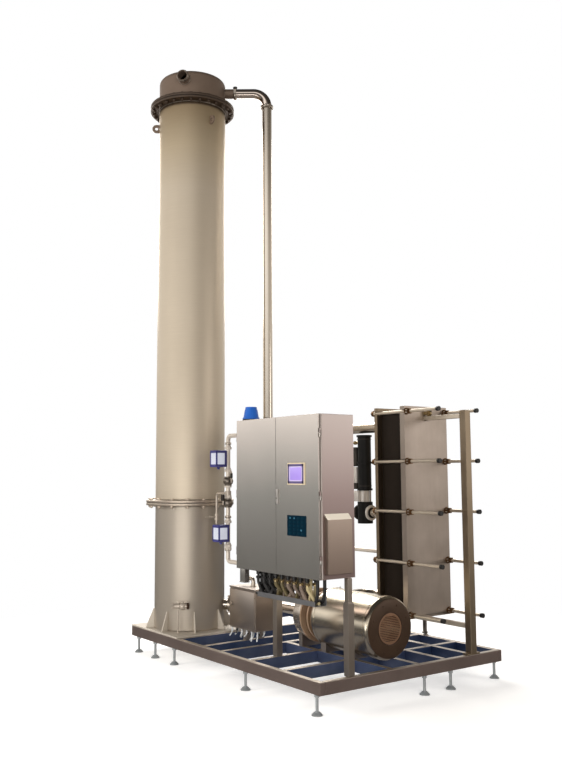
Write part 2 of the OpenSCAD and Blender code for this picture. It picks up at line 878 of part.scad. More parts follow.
riser_way = [cos(riser_angle), sin(riser_angle), 0];
riser_start = [col_x, col_y, riser_z] + riser_way * (shell_d / 2 + cap_outlet_l);
riser_joint_z = riser_z - bend_r - ferrule_t;

module riser_elbow() {
    joint = [riser_x, riser_y, riser_joint_z];
    color("silver") {
        pipe_run([in_ferrule(riser_start, -riser_way), [riser_x, riser_y, riser_z],
            in_ferrule(joint, [0, 0, -1])], pipe_d, bend_r);
        ferrule(riser_start + riser_way * ferrule_t, riser_way);
        ferrule(joint, [0, 0, -1]);
    }
}

riser_run_z = skid_top + port_high;

module riser_pipe() {
    joint = [riser_x, riser_y, riser_joint_z];
    port = [phe_x, port_y, riser_run_z];
    color("silver") {
        pipe_run([in_ferrule(joint, [0, 0, 1]), [riser_x, riser_y, riser_run_z], [riser_x, port_y, riser_run_z],
            in_ferrule(port, [1, 0, 0])], pipe_d, bend_r);
        ferrule(joint - [0, 0, ferrule_t], [0, 0, -1]);
        ferrule(port, [1, 0, 0]);
    }
}

// A clamp ring round a pair of ferrules that meet at a point
module clamp_ring(at, way) {
    v = unit(way);
    translate(at - v * clamp_w / 2) rotate([0, acos(v.z), atan2(v.y, v.x)])
        ring(ferrule_d + 2 * seat + 2 * clamp_t, ferrule_d + 2 * seat, clamp_w);
}

outlet_way = [cos(outlet_angle), sin(outlet_angle), 0];
outlet_start = [col_x, col_y, skid_top + outlet_z] + outlet_way * (shell_d / 2 + outlet_l);
suction_corner = [col_x, col_y, skid_top + outlet_z] + outlet_way * suction_reach;
suction_end = [casing_x - suction_l, pump_y, pump_z];

module pipe_clamps() {
    color("silver") {
        clamp_ring(riser_start, riser_way);
        clamp_ring([riser_x, riser_y, riser_joint_z], [0, 0, 1]);
        clamp_ring(outlet_start, outlet_way);
        clamp_ring(suction_end, [1, 0, 0]);
        clamp_ring([discharge_x, pump_y + discharge_l, discharge_z], [0, 1, 0]);
        for (z = meter_clamp_zs) at_meter(z - meter_clamp_w / 2)
            ring(meter_pipe_d + 2 * seat + 2 * meter_clamp_t, meter_pipe_d + 2 * seat, meter_clamp_w);
    }
}

module outlet_hole() {
    radial_bore(outlet_angle, skid_top + outlet_z);
}

module column_outlet() {
    color("silver") {
        radial_stub(outlet_angle, skid_top + outlet_z, outlet_l);
        radial_ferrule(outlet_angle, skid_top + outlet_z, shell_d / 2 + outlet_l);
    }
}

module suction_line() {
    rise = pump_z - suction_corner.z;
    first = [gas_x - suction_slope * rise, pump_y, suction_corner.z];
    second = [gas_x, pump_y, pump_z];
    color("silver") {
        pipe_run([in_ferrule(outlet_start, -outlet_way), suction_corner, first, second,
            in_ferrule(suction_end, [1, 0, 0])], pipe_d, bend_r);
        ferrule(outlet_start + outlet_way * ferrule_t, outlet_way);
        ferrule(suction_end, [1, 0, 0]);
    }
}

module discharge_line() {
    start = [discharge_x, pump_y + discharge_l, discharge_z];
    port = [phe_x, port_y, discharge_z];
    color("silver") {
        pipe_run([in_ferrule(start, [0, -1, 0]), [discharge_x, port_y, discharge_z],
            in_ferrule(port, [1, 0, 0])], pipe_d, bend_r);
        ferrule(start + [0, ferrule_t, 0], [0, 1, 0]);
        ferrule(port, [1, 0, 0]);
    }
}

// Pump set

module along_pump(x) {
    translate([x, pump_y, pump_z]) rotate([0, 90, 0]) children();
}

module pump_casing() {
    color("silver") {
        along_pump(casing_x) cylinder(d = casing_d, h = casing_l);
        along_pump(adapter_x - casing_rim_t) cylinder(d = casing_d + 2 * casing_rim, h = casing_rim_t);
        along_pump(casing_x - suction_l) cylinder(d = pipe_d, h = suction_l);
        along_pump(casing_x - suction_l) cylinder(d = ferrule_d, h = ferrule_t);
        discharge = [discharge_x, pump_y, discharge_z];
        bar_between(discharge, discharge + [0, discharge_l, 0], pipe_d);
        ferrule(discharge + [0, discharge_l, 0], [0, 1, 0]);
    }
}

module pump_adapter() {
    color("darkgray") {
        along_pump(adapter_x) cylinder(d = casing_d + 2 * casing_rim, h = adapter_ring_t);
        along_pump(adapter_x) cylinder(d = adapter_neck_d, h = adapter_l);
        along_pump(adapter_x + (adapter_l - adapter_ring_t) / 2) cylinder(d = casing_d, h = adapter_ring_t);
        along_pump(motor_x - adapter_ring_t) cylinder(d = motor_d - 2 * adapter_step, h = adapter_ring_t);
    }
}

module shroud_outline(r, l, edge) {
    translate([0, edge]) square([r, l - 2 * edge]);
    square([r - edge, l]);
    for (y = [edge, l - edge]) translate([r - edge, y]) circle(r = edge);
}

module motor_shroud() {
    color("silver") difference() {
        along_pump(motor_x) rotate_extrude() intersection() {
            shroud_outline(motor_d / 2, motor_l, motor_edge_r);
            square([motor_d, motor_l]);
        }
        along_pump(motor_end - grille_t) cylinder(d = grille_d + 2 * seat, h = grille_t + cut);
        along_pump(motor_end - fan_room) cylinder(d = grille_d - 2 * grille_ledge, h = fan_room);
    }
}

module fan_grille() {
    count = floor(grille_d / grille_pitch) - 1;
    open_r = grille_d / 2 - grille_ledge;
    color("saddlebrown") difference() {
        along_pump(motor_end - grille_t) cylinder(d = grille_d, h = grille_t);
        for (i = [0:count - 1]) {
            rise = (i - (count - 1) / 2) * grille_pitch;
            reach = abs(rise) + grille_slot / 2;
            if (reach < open_r - grille_ledge) {
                half = sqrt(open_r * open_r - reach * reach);
                translate([motor_end - grille_t - cut, pump_y - half, pump_z + rise - grille_slot / 2])
                    cube([grille_t + 2 * cut, 2 * half, grille_slot]);
            }
        }
    }
}

module cradle(x, length, d, low, width) {
    difference() {
        slab([x, pump_y - width / 2, skid_top], [x + length, pump_y + width / 2, skid_top + low]);
        along_pump(x - cut) cylinder(d = d + 2 * seat, h = length + 2 * cut);
    }
}

module pump_cradles() {
    width = rail_spread + beam_w;
    color("dimgray") {
        for (x = [motor_x + cradle_set, mid_beam_x]) cradle(x - cradle_l / 2, cradle_l, motor_d, cradle_h, width);
        cradle(casing_x + (casing_l - casing_rim_t - beam_w) / 2, beam_w, casing_d, casing_cradle_h, width);
    }
}

// Gas box

gas_left = gas_x - gas_w / 2;
gas_z = skid_top + gas_stand_h;

module gas_box() {
    color("gray") {
        slab([gas_left, gas_front_y, gas_z], [gas_left + gas_w, gas_front_y + gas_d, gas_z + gas_h - gas_lid_t]);
        slab([gas_left - gas_lid_lip, gas_front_y - gas_lid_lip, gas_z + gas_h - gas_lid_t],
            [gas_left + gas_w + gas_lid_lip, gas_front_y + gas_d + gas_lid_lip, gas_z + gas_h]);
    }
}

module gas_box_stand() {
    color("dimgray") for (y = [gas_front_y + beam_w, gas_front_y + gas_d - beam_w])
        slab([gas_x - beam_w / 2, y - beam_w / 2, skid_top], [gas_x + beam_w / 2, y + beam_w / 2, gas_z]);
}

// Plate heat exchanger

rod_ys = [phe_near + rod_inset, phe_far - rod_inset];
rod_step = (phe_h - rod_foot - rod_head) / (rod_levels - 1);
rod_zs = [for (i = [0:rod_levels - 1]) phe_z + rod_foot + i * rod_step];

module along_x(x, y, z) {
    translate([x, y, z]) rotate([0, 90, 0]) children();
}

// A plate with open slots in its sides for the rods
module slotted_plate(x, t) {
    slot = rod_d + 2 * rod_slack;
    difference() {
        slab([x, phe_near, phe_z], [x + t, phe_far, phe_top]);
        for (y = rod_ys, z = rod_zs) {
            side = y < phe_y ? phe_near - cut : y;
            along_x(x - cut, y, z) cylinder(d = slot, h = t + 2 * cut);
            translate([x - cut, side, z - slot / 2]) cube([t + 2 * cut, rod_inset + cut, slot]);
        }
    }
}

// Room for the carrying bar through the plates
module bar_window(x, t) {
    slab([x - cut, phe_y - bar_w / 2 - bar_room, carry_bar_z - bar_room],
        [x + t + cut, phe_y + bar_w / 2 + bar_room, carry_bar_z + bar_h + bar_room]);
}

module frame_plate() {
    color("tan") {
        slotted_plate(phe_x, frame_plate_t);
        for (z = [riser_run_z, discharge_z]) translate([phe_x + let_in, port_y, z]) rotate([0, -90, 0])
            ring(port_collar_d, ferrule_d + 2 * seat, port_collar_t + let_in);
    }
}

module pressure_plate() {
    color("tan") difference() {
        slotted_plate(pressure_x, pressure_plate_t);
        bar_window(pressure_x, pressure_plate_t);
    }
}

module plate_pack() {
    low = [pack_x, phe_near + pack_inset, phe_z];
    high = [pressure_x, phe_far - pack_inset, phe_top - pack_inset];
    groove = [0, pack_groove, pack_groove];
    count = floor(pack_t / pack_pitch);
    color("black") difference() {
        union() {
            slab(low + [0, pack_groove, 0], high - groove);
            for (i = [0:count - 1]) slab([low.x + i * pack_pitch, low.y, low.z],
                [low.x + i * pack_pitch + pack_fin, high.y, high.z]);
        }
        bar_window(pack_x, pack_t);
    }
}

module tie_rods() {
    color("peru") for (y = rod_ys, z = rod_zs) {
        along_x(phe_x - rod_tail, y, z) cylinder(d = rod_d, h = rod_end - phe_x + rod_tail);
        along_x(phe_x - rod_nut_t, y, z) cylinder(d = rod_nut_d, h = rod_nut_t, $fn = 6);
        along_x(pressure_end, y, z) cylinder(d = rod_nut_d, h = rod_nut_t, $fn = 6);
    }
}

module rod_caps() {
    color("black") for (y = rod_ys, z = rod_zs)
        along_x(rod_end, y, z) cylinder(d = rod_cap_d, h = rod_cap_l);
}

module plate_bars() {
    bar_end = end_post_x - post_w / 2;
    color("tan") {
        slab([pack_x, phe_y - bar_w / 2, carry_bar_z], [bar_end, phe_y + bar_w / 2, carry_bar_z + bar_h]);
        slab([phe_x, phe_y - bar_w / 2, guide_bar_top - bar_h], [bar_end, phe_y + bar_w / 2, guide_bar_top]);
    }
}

module end_post() {
    color("tan") {
        slab([end_post_x - post_w / 2, phe_y - post_w / 2, skid_top],
            [end_post_x + post_w / 2, phe_y + post_w / 2, carry_bar_z + bar_h + post_head]);
        slab([end_post_x - post_w / 2, phe_y - post_foot_l / 2, skid_top],
            [end_post_x + post_w / 2, phe_y + post_foot_l / 2, skid_top + post_foot_t]);
    }
}

// Roller that hangs the pressure plate on the carrying bar, in a fork on the plate
module plate_roller() {
    x = pressure_end + roller_out;
    z = carry_bar_z + bar_h + roller_d / 2 + seat;
    half = roller_w / 2 + seat;
    color("goldenrod") {
        translate([x, phe_y + half + fork_t, z]) rotate([90, 0, 0]) cylinder(d = stem_d, h = 2 * (half + fork_t));
        translate([x, phe_y + roller_w / 2, z]) rotate([90, 0, 0]) cylinder(d = roller_d, h = roller_w);
        for (side = [-1, 1]) translate([pressure_end, phe_y + side * (half + fork_t / 2) - fork_t / 2, z - stem_d])
            cube([roller_out + stem_d, fork_t, 2 * stem_d]);
    }
}

module plate_feet() {
    middle_x = phe_x + frame_plate_t / 2;
    color("dimgray") for (y = [foot_near_y, foot_far_y]) {
        near = y < phe_y;
        y0 = near ? y - beam_w / 2 : phe_far;
        y1 = near ? phe_near : y + beam_w / 2;
        slab([phe_x, y0, phe_z], [phe_x + frame_plate_t, y1, phe_z + foot_bracket_h]);
        translate([middle_x, y, skid_top]) cylinder(d = foot_rod_d, h = phe_z - skid_top + cut);
        translate([middle_x, y, skid_top]) cylinder(d = beam_w, h = foot_pad_rim);
    }
}

// Metering line

module at_meter(z) {
    translate([meter_x, meter_y, skid_top + z]) children();
}

module metering_line() {
    top = skid_top + meter_top;
    bottom = skid_top + meter_bottom;
    back = bottom + meter_rise;
    loop = riser_run_z + pipe_d / 2 + meter_loop;
    back_x = pump_beam_x - meter_back;
    loop_y = port_y - meter_loop_l;
    color("silver")
        pipe_run([[phe_x, port_y, back], [back_x, port_y, back], [back_x, meter_y, back],
            [back_x, meter_y, bottom], [meter_x, meter_y, bottom], [meter_x, meter_y, top],
            [back_x, meter_y, top], [back_x, loop_y, top], [back_x, loop_y, loop], [back_x, port_y, loop],
            [back_x, port_y, riser_run_z + pipe_d / 2 + seat]], meter_pipe_d, meter_bend_r);
}

module flow_meters() {
    back = meter_y - meter_pipe_d / 2 - seat;
    color("royalblue") for (head = [[meter_x, meter_low_z], [meter_x - meter_high_shift, meter_high_z]])
        slab([head.x - meter_head_w / 2, back - meter_head_d, skid_top + head.y - meter_head_h / 2],
            [head.x + meter_head_w / 2, back, skid_top + head.y + meter_head_h / 2]);
}

// A hand valve on the upright metering pipe, with its lever out along a direction
module hand_valve(z, way) {
    at_meter(z) {
        translate([0, 0, -hand_valve_w / 2]) ring(hand_valve_d, meter_pipe_d + 2 * seat, hand_valve_w);
        rotate([0, 0, way]) {
            translate([hand_valve_d / 2 - let_in, 0, 0]) rotate([0, 90, 0]) cylinder(d = stem_d, h = stem_d + let_in);
            translate([hand_valve_d / 2 + stem_d - lever_t, -lever_w / 2, -stem_d]) cube([lever_t, lever_w, lever_l]);
        }
    }
}

// Sample line: a tee on the metering pipe, a bent tube and a tap
module sample_tap() {
    at_meter(tap_run_z - meter_clamp_w)
        ring(meter_pipe_d + 2 * seat + 2 * meter_clamp_t, meter_pipe_d + 2 * seat, 2 * meter_clamp_w);
    x = meter_x - tap_step;
    pipe_run([[meter_x - meter_pipe_d / 2 - meter_clamp_t / 2, meter_y, skid_top + tap_run_z],
        [x, meter_y, skid_top + tap_run_z], [x, meter_y, skid_top + tap_z + tap_l - let_in]], tap_pipe_d, tap_bend_r);
    translate([x, meter_y, skid_top + tap_z]) {
        cylinder(d = tap_d, h = tap_l);
        translate([0, 0, -tap_d]) cylinder(d = tap_pipe_d, h = tap_d + let_in);
        translate([-lever_w / 2, -tap_d / 2 - lever_l, tap_l / 2]) cube([lever_w, lever_l + let_in, lever_t]);
    }
}

// Drain valve on the lower shell, with its tube down to the base plate
module drain_valve() {
    x = shell_d / 2 + drain_out;
    foot_y = -drain_l / 4;
    at_column(skid_top + drain_z) rotate([0, 0, drain_angle]) {
        translate([shell_d / 2 + seat, 0, 0]) rotate([0, 90, 0]) cylinder(d = drain_d, h = drain_out);
        translate([x, drain_l / 3, 0]) rotate([90, 0, 0]) cylinder(d = drain_d, h = drain_l);
        translate([x, foot_y, 0]) cylinder(d = stem_d, h = drain_d);
        translate([x - lever_w / 2, foot_y - stem_d, drain_d - lever_t]) cube([lever_w, lever_l, lever_t]);
        translate([x, foot_y, base_plate_t - drain_z]) cylinder(d = drain_tube_d, h = drain_z - base_plate_t);
    }
}

module small_valves() {
    color("silver") {
        hand_valve(hand_valve_1, -90);
        hand_valve(hand_valve_2, 0);
        sample_tap();
        drain_valve();
    }
}

// Control valve and its branch

valve_x = phe_x - valve_gap - valve_w / 2;

module valve_branch() {
    z = skid_top + valve_z;
    tee_x = pump_beam_x - tee_step;
    color("silver") {
        pipe_run([[tee_x, port_y, riser_run_z - pipe_d / 2 - seat], [tee_x, port_y, z],
            [valve_x - valve_w / 2, port_y, z]], branch_d, branch_bend_r);
        bar_between([valve_x + valve_w / 2, port_y, z], [phe_x, port_y, z], branch_d);
    }
}

module control_valve() {
    z = skid_top + valve_z;
    color("black") {
        along_x(valve_x - valve_w / 2, port_y, z) cylinder(d = valve_end_d, h = valve_w);
        translate([valve_x, port_y, z - valve_body_h / 2]) cylinder(d = valve_body_d, h = valve_body_h);
        translate([valve_x, port_y, z]) cylinder(d = bonnet_d, h = bonnet_h + let_in);
        for (i = [0:pillar_n - 1]) translate([valve_x, port_y, z]) rotate([0, 0, (i + 0.5) * 360 / pillar_n])
            translate([pillar_ring, 0, 0]) cylinder(d = pillar_d, h = bonnet_h + let_in);
        translate([valve_x, port_y, z + bonnet_h]) {
            cylinder(d = actuator_d, h = actuator_l);
            for (h = [0, (actuator_l - actuator_rim_t) / 2, actuator_l - actuator_rim_t])
                translate([0, 0, h]) cylinder(d = actuator_rim_d, h = actuator_rim_t);
        }
    }
}

// Control cabinet

module cabinet_back() {
    color("silver") slab([cab_left_x + cab_t, cab_back_y - cab_t, cab_floor_z + cab_t],
        [cab_right_x - cab_t, cab_back_y, cab_top - cab_t]);
}

module cabinet_floor() {
    color("silver") slab([cab_left_x, body_front_y, cab_floor_z], [cab_right_x, cab_back_y, cab_floor_z + cab_t]);
}

module cabinet_roof() {
    color("silver") slab([cab_left_x, body_front_y, cab_top - cab_t], [cab_right_x, cab_back_y, cab_top]);
}

hinge_gap = 0.5;

// Fixed half of a hinge on a side that faces outwards along +X, with its pin
module fixed_knuckle() {
    leaf = body_front_y - hinge_y;
    bend = hinge_pin_r - cut;
    outer = hinge_leaf_t - hinge_out;
    linear_extrude(knuckle_l) polygon([[-hinge_out, leaf], [-bend, 0], [bend, 0], [outer, leaf + hinge_leaf_t],
        [outer, leaf + hinge_leaf_w], [-hinge_out, leaf + hinge_leaf_w]]);
    cylinder(r = knuckle_r, h = knuckle_l);
    translate([0, 0, -knuckle_l]) cylinder(r = hinge_pin_r, h = knuckle_l + cut);
}

// Moving half of a hinge, joined to a door's edge
module door_knuckle() {
    difference() {
        union() {
            cylinder(r = knuckle_r, h = knuckle_l - hinge_gap);
            translate([-hinge_out, -hinge_leaf_t / 2, 0]) cube([hinge_out, hinge_leaf_t, knuckle_l - hinge_gap]);
        }
        translate([0, 0, -cut]) cylinder(r = hinge_pin_r + run_fit, h = knuckle_l + 2 * cut);
    }
}

module cabinet_sides() {
    color("silver") for (side = [-1, 1]) {
        x = side < 0 ? cab_left_x : cab_right_x - cab_t;
        edge = side < 0 ? cab_left_x : cab_right_x;
        slab([x, body_front_y, cab_floor_z + cab_t], [x + cab_t, cab_back_y, cab_top - cab_t]);
        for (z = hinge_zs) translate([edge, hinge_y, z]) mirror([side < 0 ? 1 : 0, 0, 0])
            translate([hinge_out, 0, 0]) fixed_knuckle();
    }
}

module mounting_plate() {
    y = cab_back_y - cab_t - standoff_l;
    x0 = cab_left_x + mount_plate_margin;
    x1 = cab_right_x - mount_plate_margin;
    z0 = cab_floor_z + mount_plate_margin;
    z1 = cab_top - mount_plate_margin;
    color("gainsboro") {
        slab([x0, y - mount_plate_t, z0], [x1, y, z1]);
        for (x = [x0 + mount_plate_margin, x1 - mount_plate_margin], z = [z0 + mount_plate_margin, z1 - mount_plate_margin])
            translate([x, y, z]) rotate([-90, 0, 0]) cylinder(d = standoff_d, h = standoff_l);
    }
}

// A door as a folded pan, open towards the cabinet
module door_pan(x0, x1) {
    difference() {
        slab([x0, cab_front_y, cab_floor_z], [x1, door_back_y, cab_top]);
        slab([x0 + door_fold, cab_front_y + door_sheet, cab_floor_z + door_fold],
            [x1 - door_fold, door_back_y + cut, cab_top - door_fold]);
    }
}

module left_door() {
    color("silver") {
        door_pan(cab_left_x, split_left);
        for (z = hinge_zs) translate([cab_left_x, hinge_y, z - knuckle_l]) mirror([1, 0, 0])
            translate([hinge_out, 0, 0]) door_knuckle();
    }
}

module right_door() {
    color("silver") {
        door_pan(split_right, cab_right_x);
        for (z = hinge_zs) translate([cab_right_x, hinge_y, z - knuckle_l])
            translate([hinge_out, 0, 0]) door_knuckle();
    }
}

// A plate on the right door's face
module door_plate(x, z, w, h, t) {
    slab([x - w / 2, cab_front_y - t, skid_top + z - h / 2], [x + w / 2, cab_front_y, skid_top + z + h / 2]);
}

module door_handle() {
    x = split_right + handle_w;
    color("dimgray") {
        door_plate(x, handle_z, handle_w, handle_h, handle_out / 2);
        translate([x - handle_w / 4, cab_front_y - handle_out, skid_top + handle_z - handle_h / 2])
            cube([handle_w / 2, handle_out / 2, handle_grip_h]);
    }
}

module operator_display() {
    color("darkslategray") difference() {
        door_plate(panel_x, display_z, display_w, display_h, bezel_t);
        translate([0, -bezel_t / 2, 0])
            door_plate(panel_x, display_z, display_w - 2 * bezel_w, display_h - 2 * bezel_w, bezel_t);
    }
}

module key_panel() {
    color("teal") door_plate(panel_x, keys_z, keys_w, keys_h, keys_t);
}

module side_cover() {
    y = cab_front_y + cover_inset;
    z = cab_floor_z + cover_foot;
    color("silver") translate([cab_right_x, y + cover_w, z]) rotate([90, 0, 0]) linear_extrude(cover_w)
        polygon([[0, 0], [cover_t, 0], [cover_t, cover_h - cover_t], [0, cover_h]]);
}

beacon_x = cab_left_x + beacon_x_inset;
beacon_y = cab_front_y + beacon_y_inset;

module beacon_base() {
    color("black") translate([beacon_x, beacon_y, cab_top]) cylinder(d = beacon_d + 2 * beacon_base_lip, h = beacon_base_h);
}

module beacon_lens() {
    color("royalblue") translate([beacon_x, beacon_y, cab_top + beacon_base_h])
        cylinder(d1 = beacon_d, d2 = beacon_top_d, h = beacon_h);
}

// Two rows of glands in the cabinet's floor, where its cables go in
module cable_glands() {
    color("black") for (i = [0:gland_n - 1], row = [0, 1])
        translate([cab_left_x + gland_inset + i * gland_pitch, cab_front_y + gland_front + row * gland_row, cab_floor_z])
            mirror([0, 0, 1]) {
                cylinder(d = gland_d, h = gland_nut_h, $fn = 6);
                cylinder(d = gland_d * 0.8, h = gland_l - gland_nut_h);
                cylinder(d = gland_d / 2, h = gland_l);
            }
}

// An open tray, bracketed to the left post and hung from the cabinet's floor at its right end
module cable_tray() {
    x = cab_left_x + tray_inset;
    y = cab_front_y + tray_front;
    top = cab_floor_z - tray_drop;
    low = top - tray_h;
    color("gray") {
        difference() {
            slab([x, y, low], [x + tray_l, y + tray_w, top]);
            slab([x - cut, y + tray_t, low + tray_t], [x + tray_l + cut, y + tray_w - tray_t, top + cut]);
        }
        slab([stand_left_x - tray_strap_w / 2, y + tray_w - tray_t, low],
            [stand_left_x + tray_strap_w / 2, stand_y - stand_w / 2, top]);
        slab([x + tray_l - tray_strap_w, y + tray_w - tray_t, low], [x + tray_l, y + tray_w, cab_floor_z]);
    }
}

module cabinet_posts() {
    color("dimgray") for (x = [stand_left_x, stand_right_x]) {
        translate([x - stand_w / 2, stand_y - stand_w / 2, skid_top]) cube([stand_w, stand_w, stand_h]);
        translate([x - leg_w / 2, stand_y - leg_w / 2, stand_top]) cube([leg_w, leg_w, cab_floor_z - stand_top]);
    }
}

long_beams();
end_beams();
cross_beams();
stringers();
skid_feet();
column_base();
column_gussets();
lower_shell();
middle_flanges();
upper_shell();
top_flanges();
flange_gaskets();
column_cap();
vent_nozzle();
cap_outlet();
lifting_lugs();
riser_elbow();
riser_pipe();
pipe_clamps();
column_outlet();
suction_line();
discharge_line();
pump_casing();
pump_adapter();
motor_shroud();
fan_grille();
pump_cradles();
gas_box();
gas_box_stand();
frame_plate();
plate_pack();
pressure_plate();
tie_rods();
rod_caps();
plate_bars();
end_post();
plate_feet();
plate_roller();
metering_line();
flow_meters();
small_valves();
valve_branch();
control_valve();
cabinet_back();
cabinet_sides();
cabinet_roof();
cabinet_floor();
mounting_plate();
left_door();
right_door();
door_handle();
operator_display();
key_panel();
side_cover();
beacon_base();
beacon_lens();
cabinet_posts();
cable_glands();
cable_tray();
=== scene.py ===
import math

import bmesh
import bpy
from mathutils import Matrix, Vector


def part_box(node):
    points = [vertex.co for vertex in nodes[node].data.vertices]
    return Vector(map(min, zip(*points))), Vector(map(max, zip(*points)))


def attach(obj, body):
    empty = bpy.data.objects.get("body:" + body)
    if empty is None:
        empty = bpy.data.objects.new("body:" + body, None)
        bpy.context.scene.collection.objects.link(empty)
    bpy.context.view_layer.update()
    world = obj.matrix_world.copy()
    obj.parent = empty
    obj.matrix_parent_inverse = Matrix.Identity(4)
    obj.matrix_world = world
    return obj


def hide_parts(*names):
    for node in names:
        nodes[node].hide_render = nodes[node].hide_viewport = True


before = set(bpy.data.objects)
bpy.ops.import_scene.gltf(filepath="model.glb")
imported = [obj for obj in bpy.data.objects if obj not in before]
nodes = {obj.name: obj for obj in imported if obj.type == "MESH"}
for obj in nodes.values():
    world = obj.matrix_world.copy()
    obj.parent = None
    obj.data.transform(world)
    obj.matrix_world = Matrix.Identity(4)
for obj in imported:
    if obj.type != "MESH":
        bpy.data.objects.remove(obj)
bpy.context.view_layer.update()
print("frame loaded with", len(nodes), "nodes")

up = Vector((0, 0, 1))
alongX = Vector((1, 0, 0))
alongY = Vector((0, 1, 0))
hands = (-1, 1)


# places and sizes are read from the frame
def middle(node):
    low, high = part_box(node)
    return (low + high) / 2


def halfSize(node):
    low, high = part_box(node)
    return (high - low) / 2


def polar(centre, angle, reach, z):
    turn = math.radians(angle)
    return Vector((centre.x + reach * math.cos(turn), centre.y + reach * math.sin(turn), z))


# the level way that an angle in degrees points
def heading(angle):
    return polar(Vector(), angle, 1.0, 0.0)


column = middle("upper_shell")
shellR = halfSize("upper_shell").x
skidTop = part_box("long_beams")[1].z
turns = {"riser": 54, "vent": -44, "outlet": 47.04, "drain": -40}  # where the column's nozzles point, in degrees

# the camera stands where the photograph was taken from
shot = {"place": (6.870, -5.205, 1.822), "yaw": 54.107, "pitch": 6.222, "roll": -0.30, "lens": 41.22, "sensor": 36.0,
        "far": 200}


def makeCamera():
    data = bpy.data.cameras.new("shot")
    data.lens, data.sensor_width, data.clip_end = shot["lens"], shot["sensor"], shot["far"]
    camera = bpy.data.objects.new("shot", data)
    bpy.context.scene.collection.objects.link(camera)
    yaw, pitch, roll = (math.radians(shot[k]) for k in ("yaw", "pitch", "roll"))
    look = Vector((-math.sin(yaw) * math.cos(pitch), math.cos(yaw) * math.cos(pitch), math.sin(pitch)))
    right = look.cross(up).normalized()
    rise = right.cross(look)
    across = right * math.cos(roll) + rise * math.sin(roll)
    upright = rise * math.cos(roll) - right * math.sin(roll)
    turn = Matrix((across, upright, -look)).transposed().to_4x4()
    camera.matrix_world = Matrix.Translation(shot["place"]) @ turn
    bpy.context.scene.camera = camera


makeCamera()
print("camera placed")


# a Math node for an operator, or for its reflected form
def mathNode(operation, reflected=False):
    def apply(self, other):
        first, second = (other, self) if reflected else (self, other)
        return self.node("Math", {"operation": operation}, {0: first, 1: second})
    return apply


def rgba(colour):
    return colour if isinstance(colour, Wire) else (*colour, 1.0)


# a shader socket that can stand in an expression
class Wire:
    def __init__(self, tree, socket=None):
        self.tree, self.socket = tree, socket

    def node(self, kind, settings=None, inputs=None, out=0):
        made = self.tree.nodes.new("ShaderNode" + kind)
        for key, value in (settings or {}).items():
            if key == "stops":
                ends = made.color_ramp.elements
                stops = [(place, rgba(colour)) for place, colour in value]
                ends[0].position, ends[0].color = stops[0]
                ends[1].position, ends[1].color = stops[-1]
                for place, colour in stops[1:-1]:
                    ends.new(place).color = colour
            else:
                setattr(made, key, value)
        for key, value in (inputs or {}).items():
            if isinstance(value, Wire):
                self.tree.links.new(value.socket, made.inputs[key])
            else:
                made.inputs[key].default_value = value
        return Wire(self.tree, made.outputs[out])

    __add__, __radd__ = mathNode("ADD"), mathNode("ADD", True)
    __sub__, __rsub__ = mathNode("SUBTRACT"), mathNode("SUBTRACT", True)
    __mul__, __rmul__ = mathNode("MULTIPLY"), mathNode("MULTIPLY", True)
    __truediv__, __rtruediv__ = mathNode("DIVIDE"), mathNode("DIVIDE", True)
    __gt__, __lt__ = mathNode("GREATER_THAN"), mathNode("LESS_THAN")

    def __abs__(self):
        return self.node("Math", {"operation": "ABSOLUTE"}, {0: self})

    def clip(self):
        return self.node("Clamp", None, {"Value": self, "Min": 0.0, "Max": 1.0})

    def mix(self, share, first, second, how="MIX"):
        inputs = {0: share, 6: rgba(first), 7: rgba(second)}
        return self.node("Mix", {"data_type": "RGBA", "blend_type": how}, inputs, 2)

    # a colour between two, by this value
    def blend(self, first, second):
        return self.mix(self, first, second)


finishes = {}


class Finish:
    def __init__(self, name, metallic=0.0, roughness=0.4, **more):
        self.material = finishes[name] = bpy.data.materials.new(name)
        self.material.use_nodes = True
        self.wire = Wire(self.material.node_tree)
        self.shader = self.wire.tree.nodes["Principled BSDF"]
        for socket, value in {"Metallic": metallic, "Roughness": roughness, **more}.items():
            self.put(socket, value)
        self.place = self.wire.node("TexCoord", out="Object")

    def put(self, socket, value):
        if isinstance(value, Wire):
            self.wire.tree.links.new(value.socket, self.shader.inputs[socket])
        else:
            self.shader.inputs[socket].default_value = value

    # noise drawn out along the axes by its scales
    def noise(self, scales, detail=3.0, rough=0.55):
        if isinstance(scales, (int, float)):
            scales = (scales,) * 3
        at = self.wire.node("VectorMath", {"operation": "MULTIPLY"}, {0: self.place, 1: scales})
        inputs = {"Vector": at, "Scale": 1.0, "Detail": detail, "Roughness": rough}
        return self.wire.node("TexNoise", None, inputs, "Fac")

    def ramp(self, share, stops):
        return self.wire.node("ValToRGB", {"stops": stops}, {0: share})

    def axis(self, name):
        return self.wire.node("SeparateXYZ", None, {0: self.place}, name)

    # what the surface faces, in the object's own frame
    def facing(self, name):
        return self.wire.node("SeparateXYZ", None, {0: self.wire.node("TexCoord", out="Normal")}, name)

    def bump(self, height, strength, distance):
        self.put("Normal", self.wire.node("Bump", None, {"Strength": strength, "Distance": distance, "Height": height}))


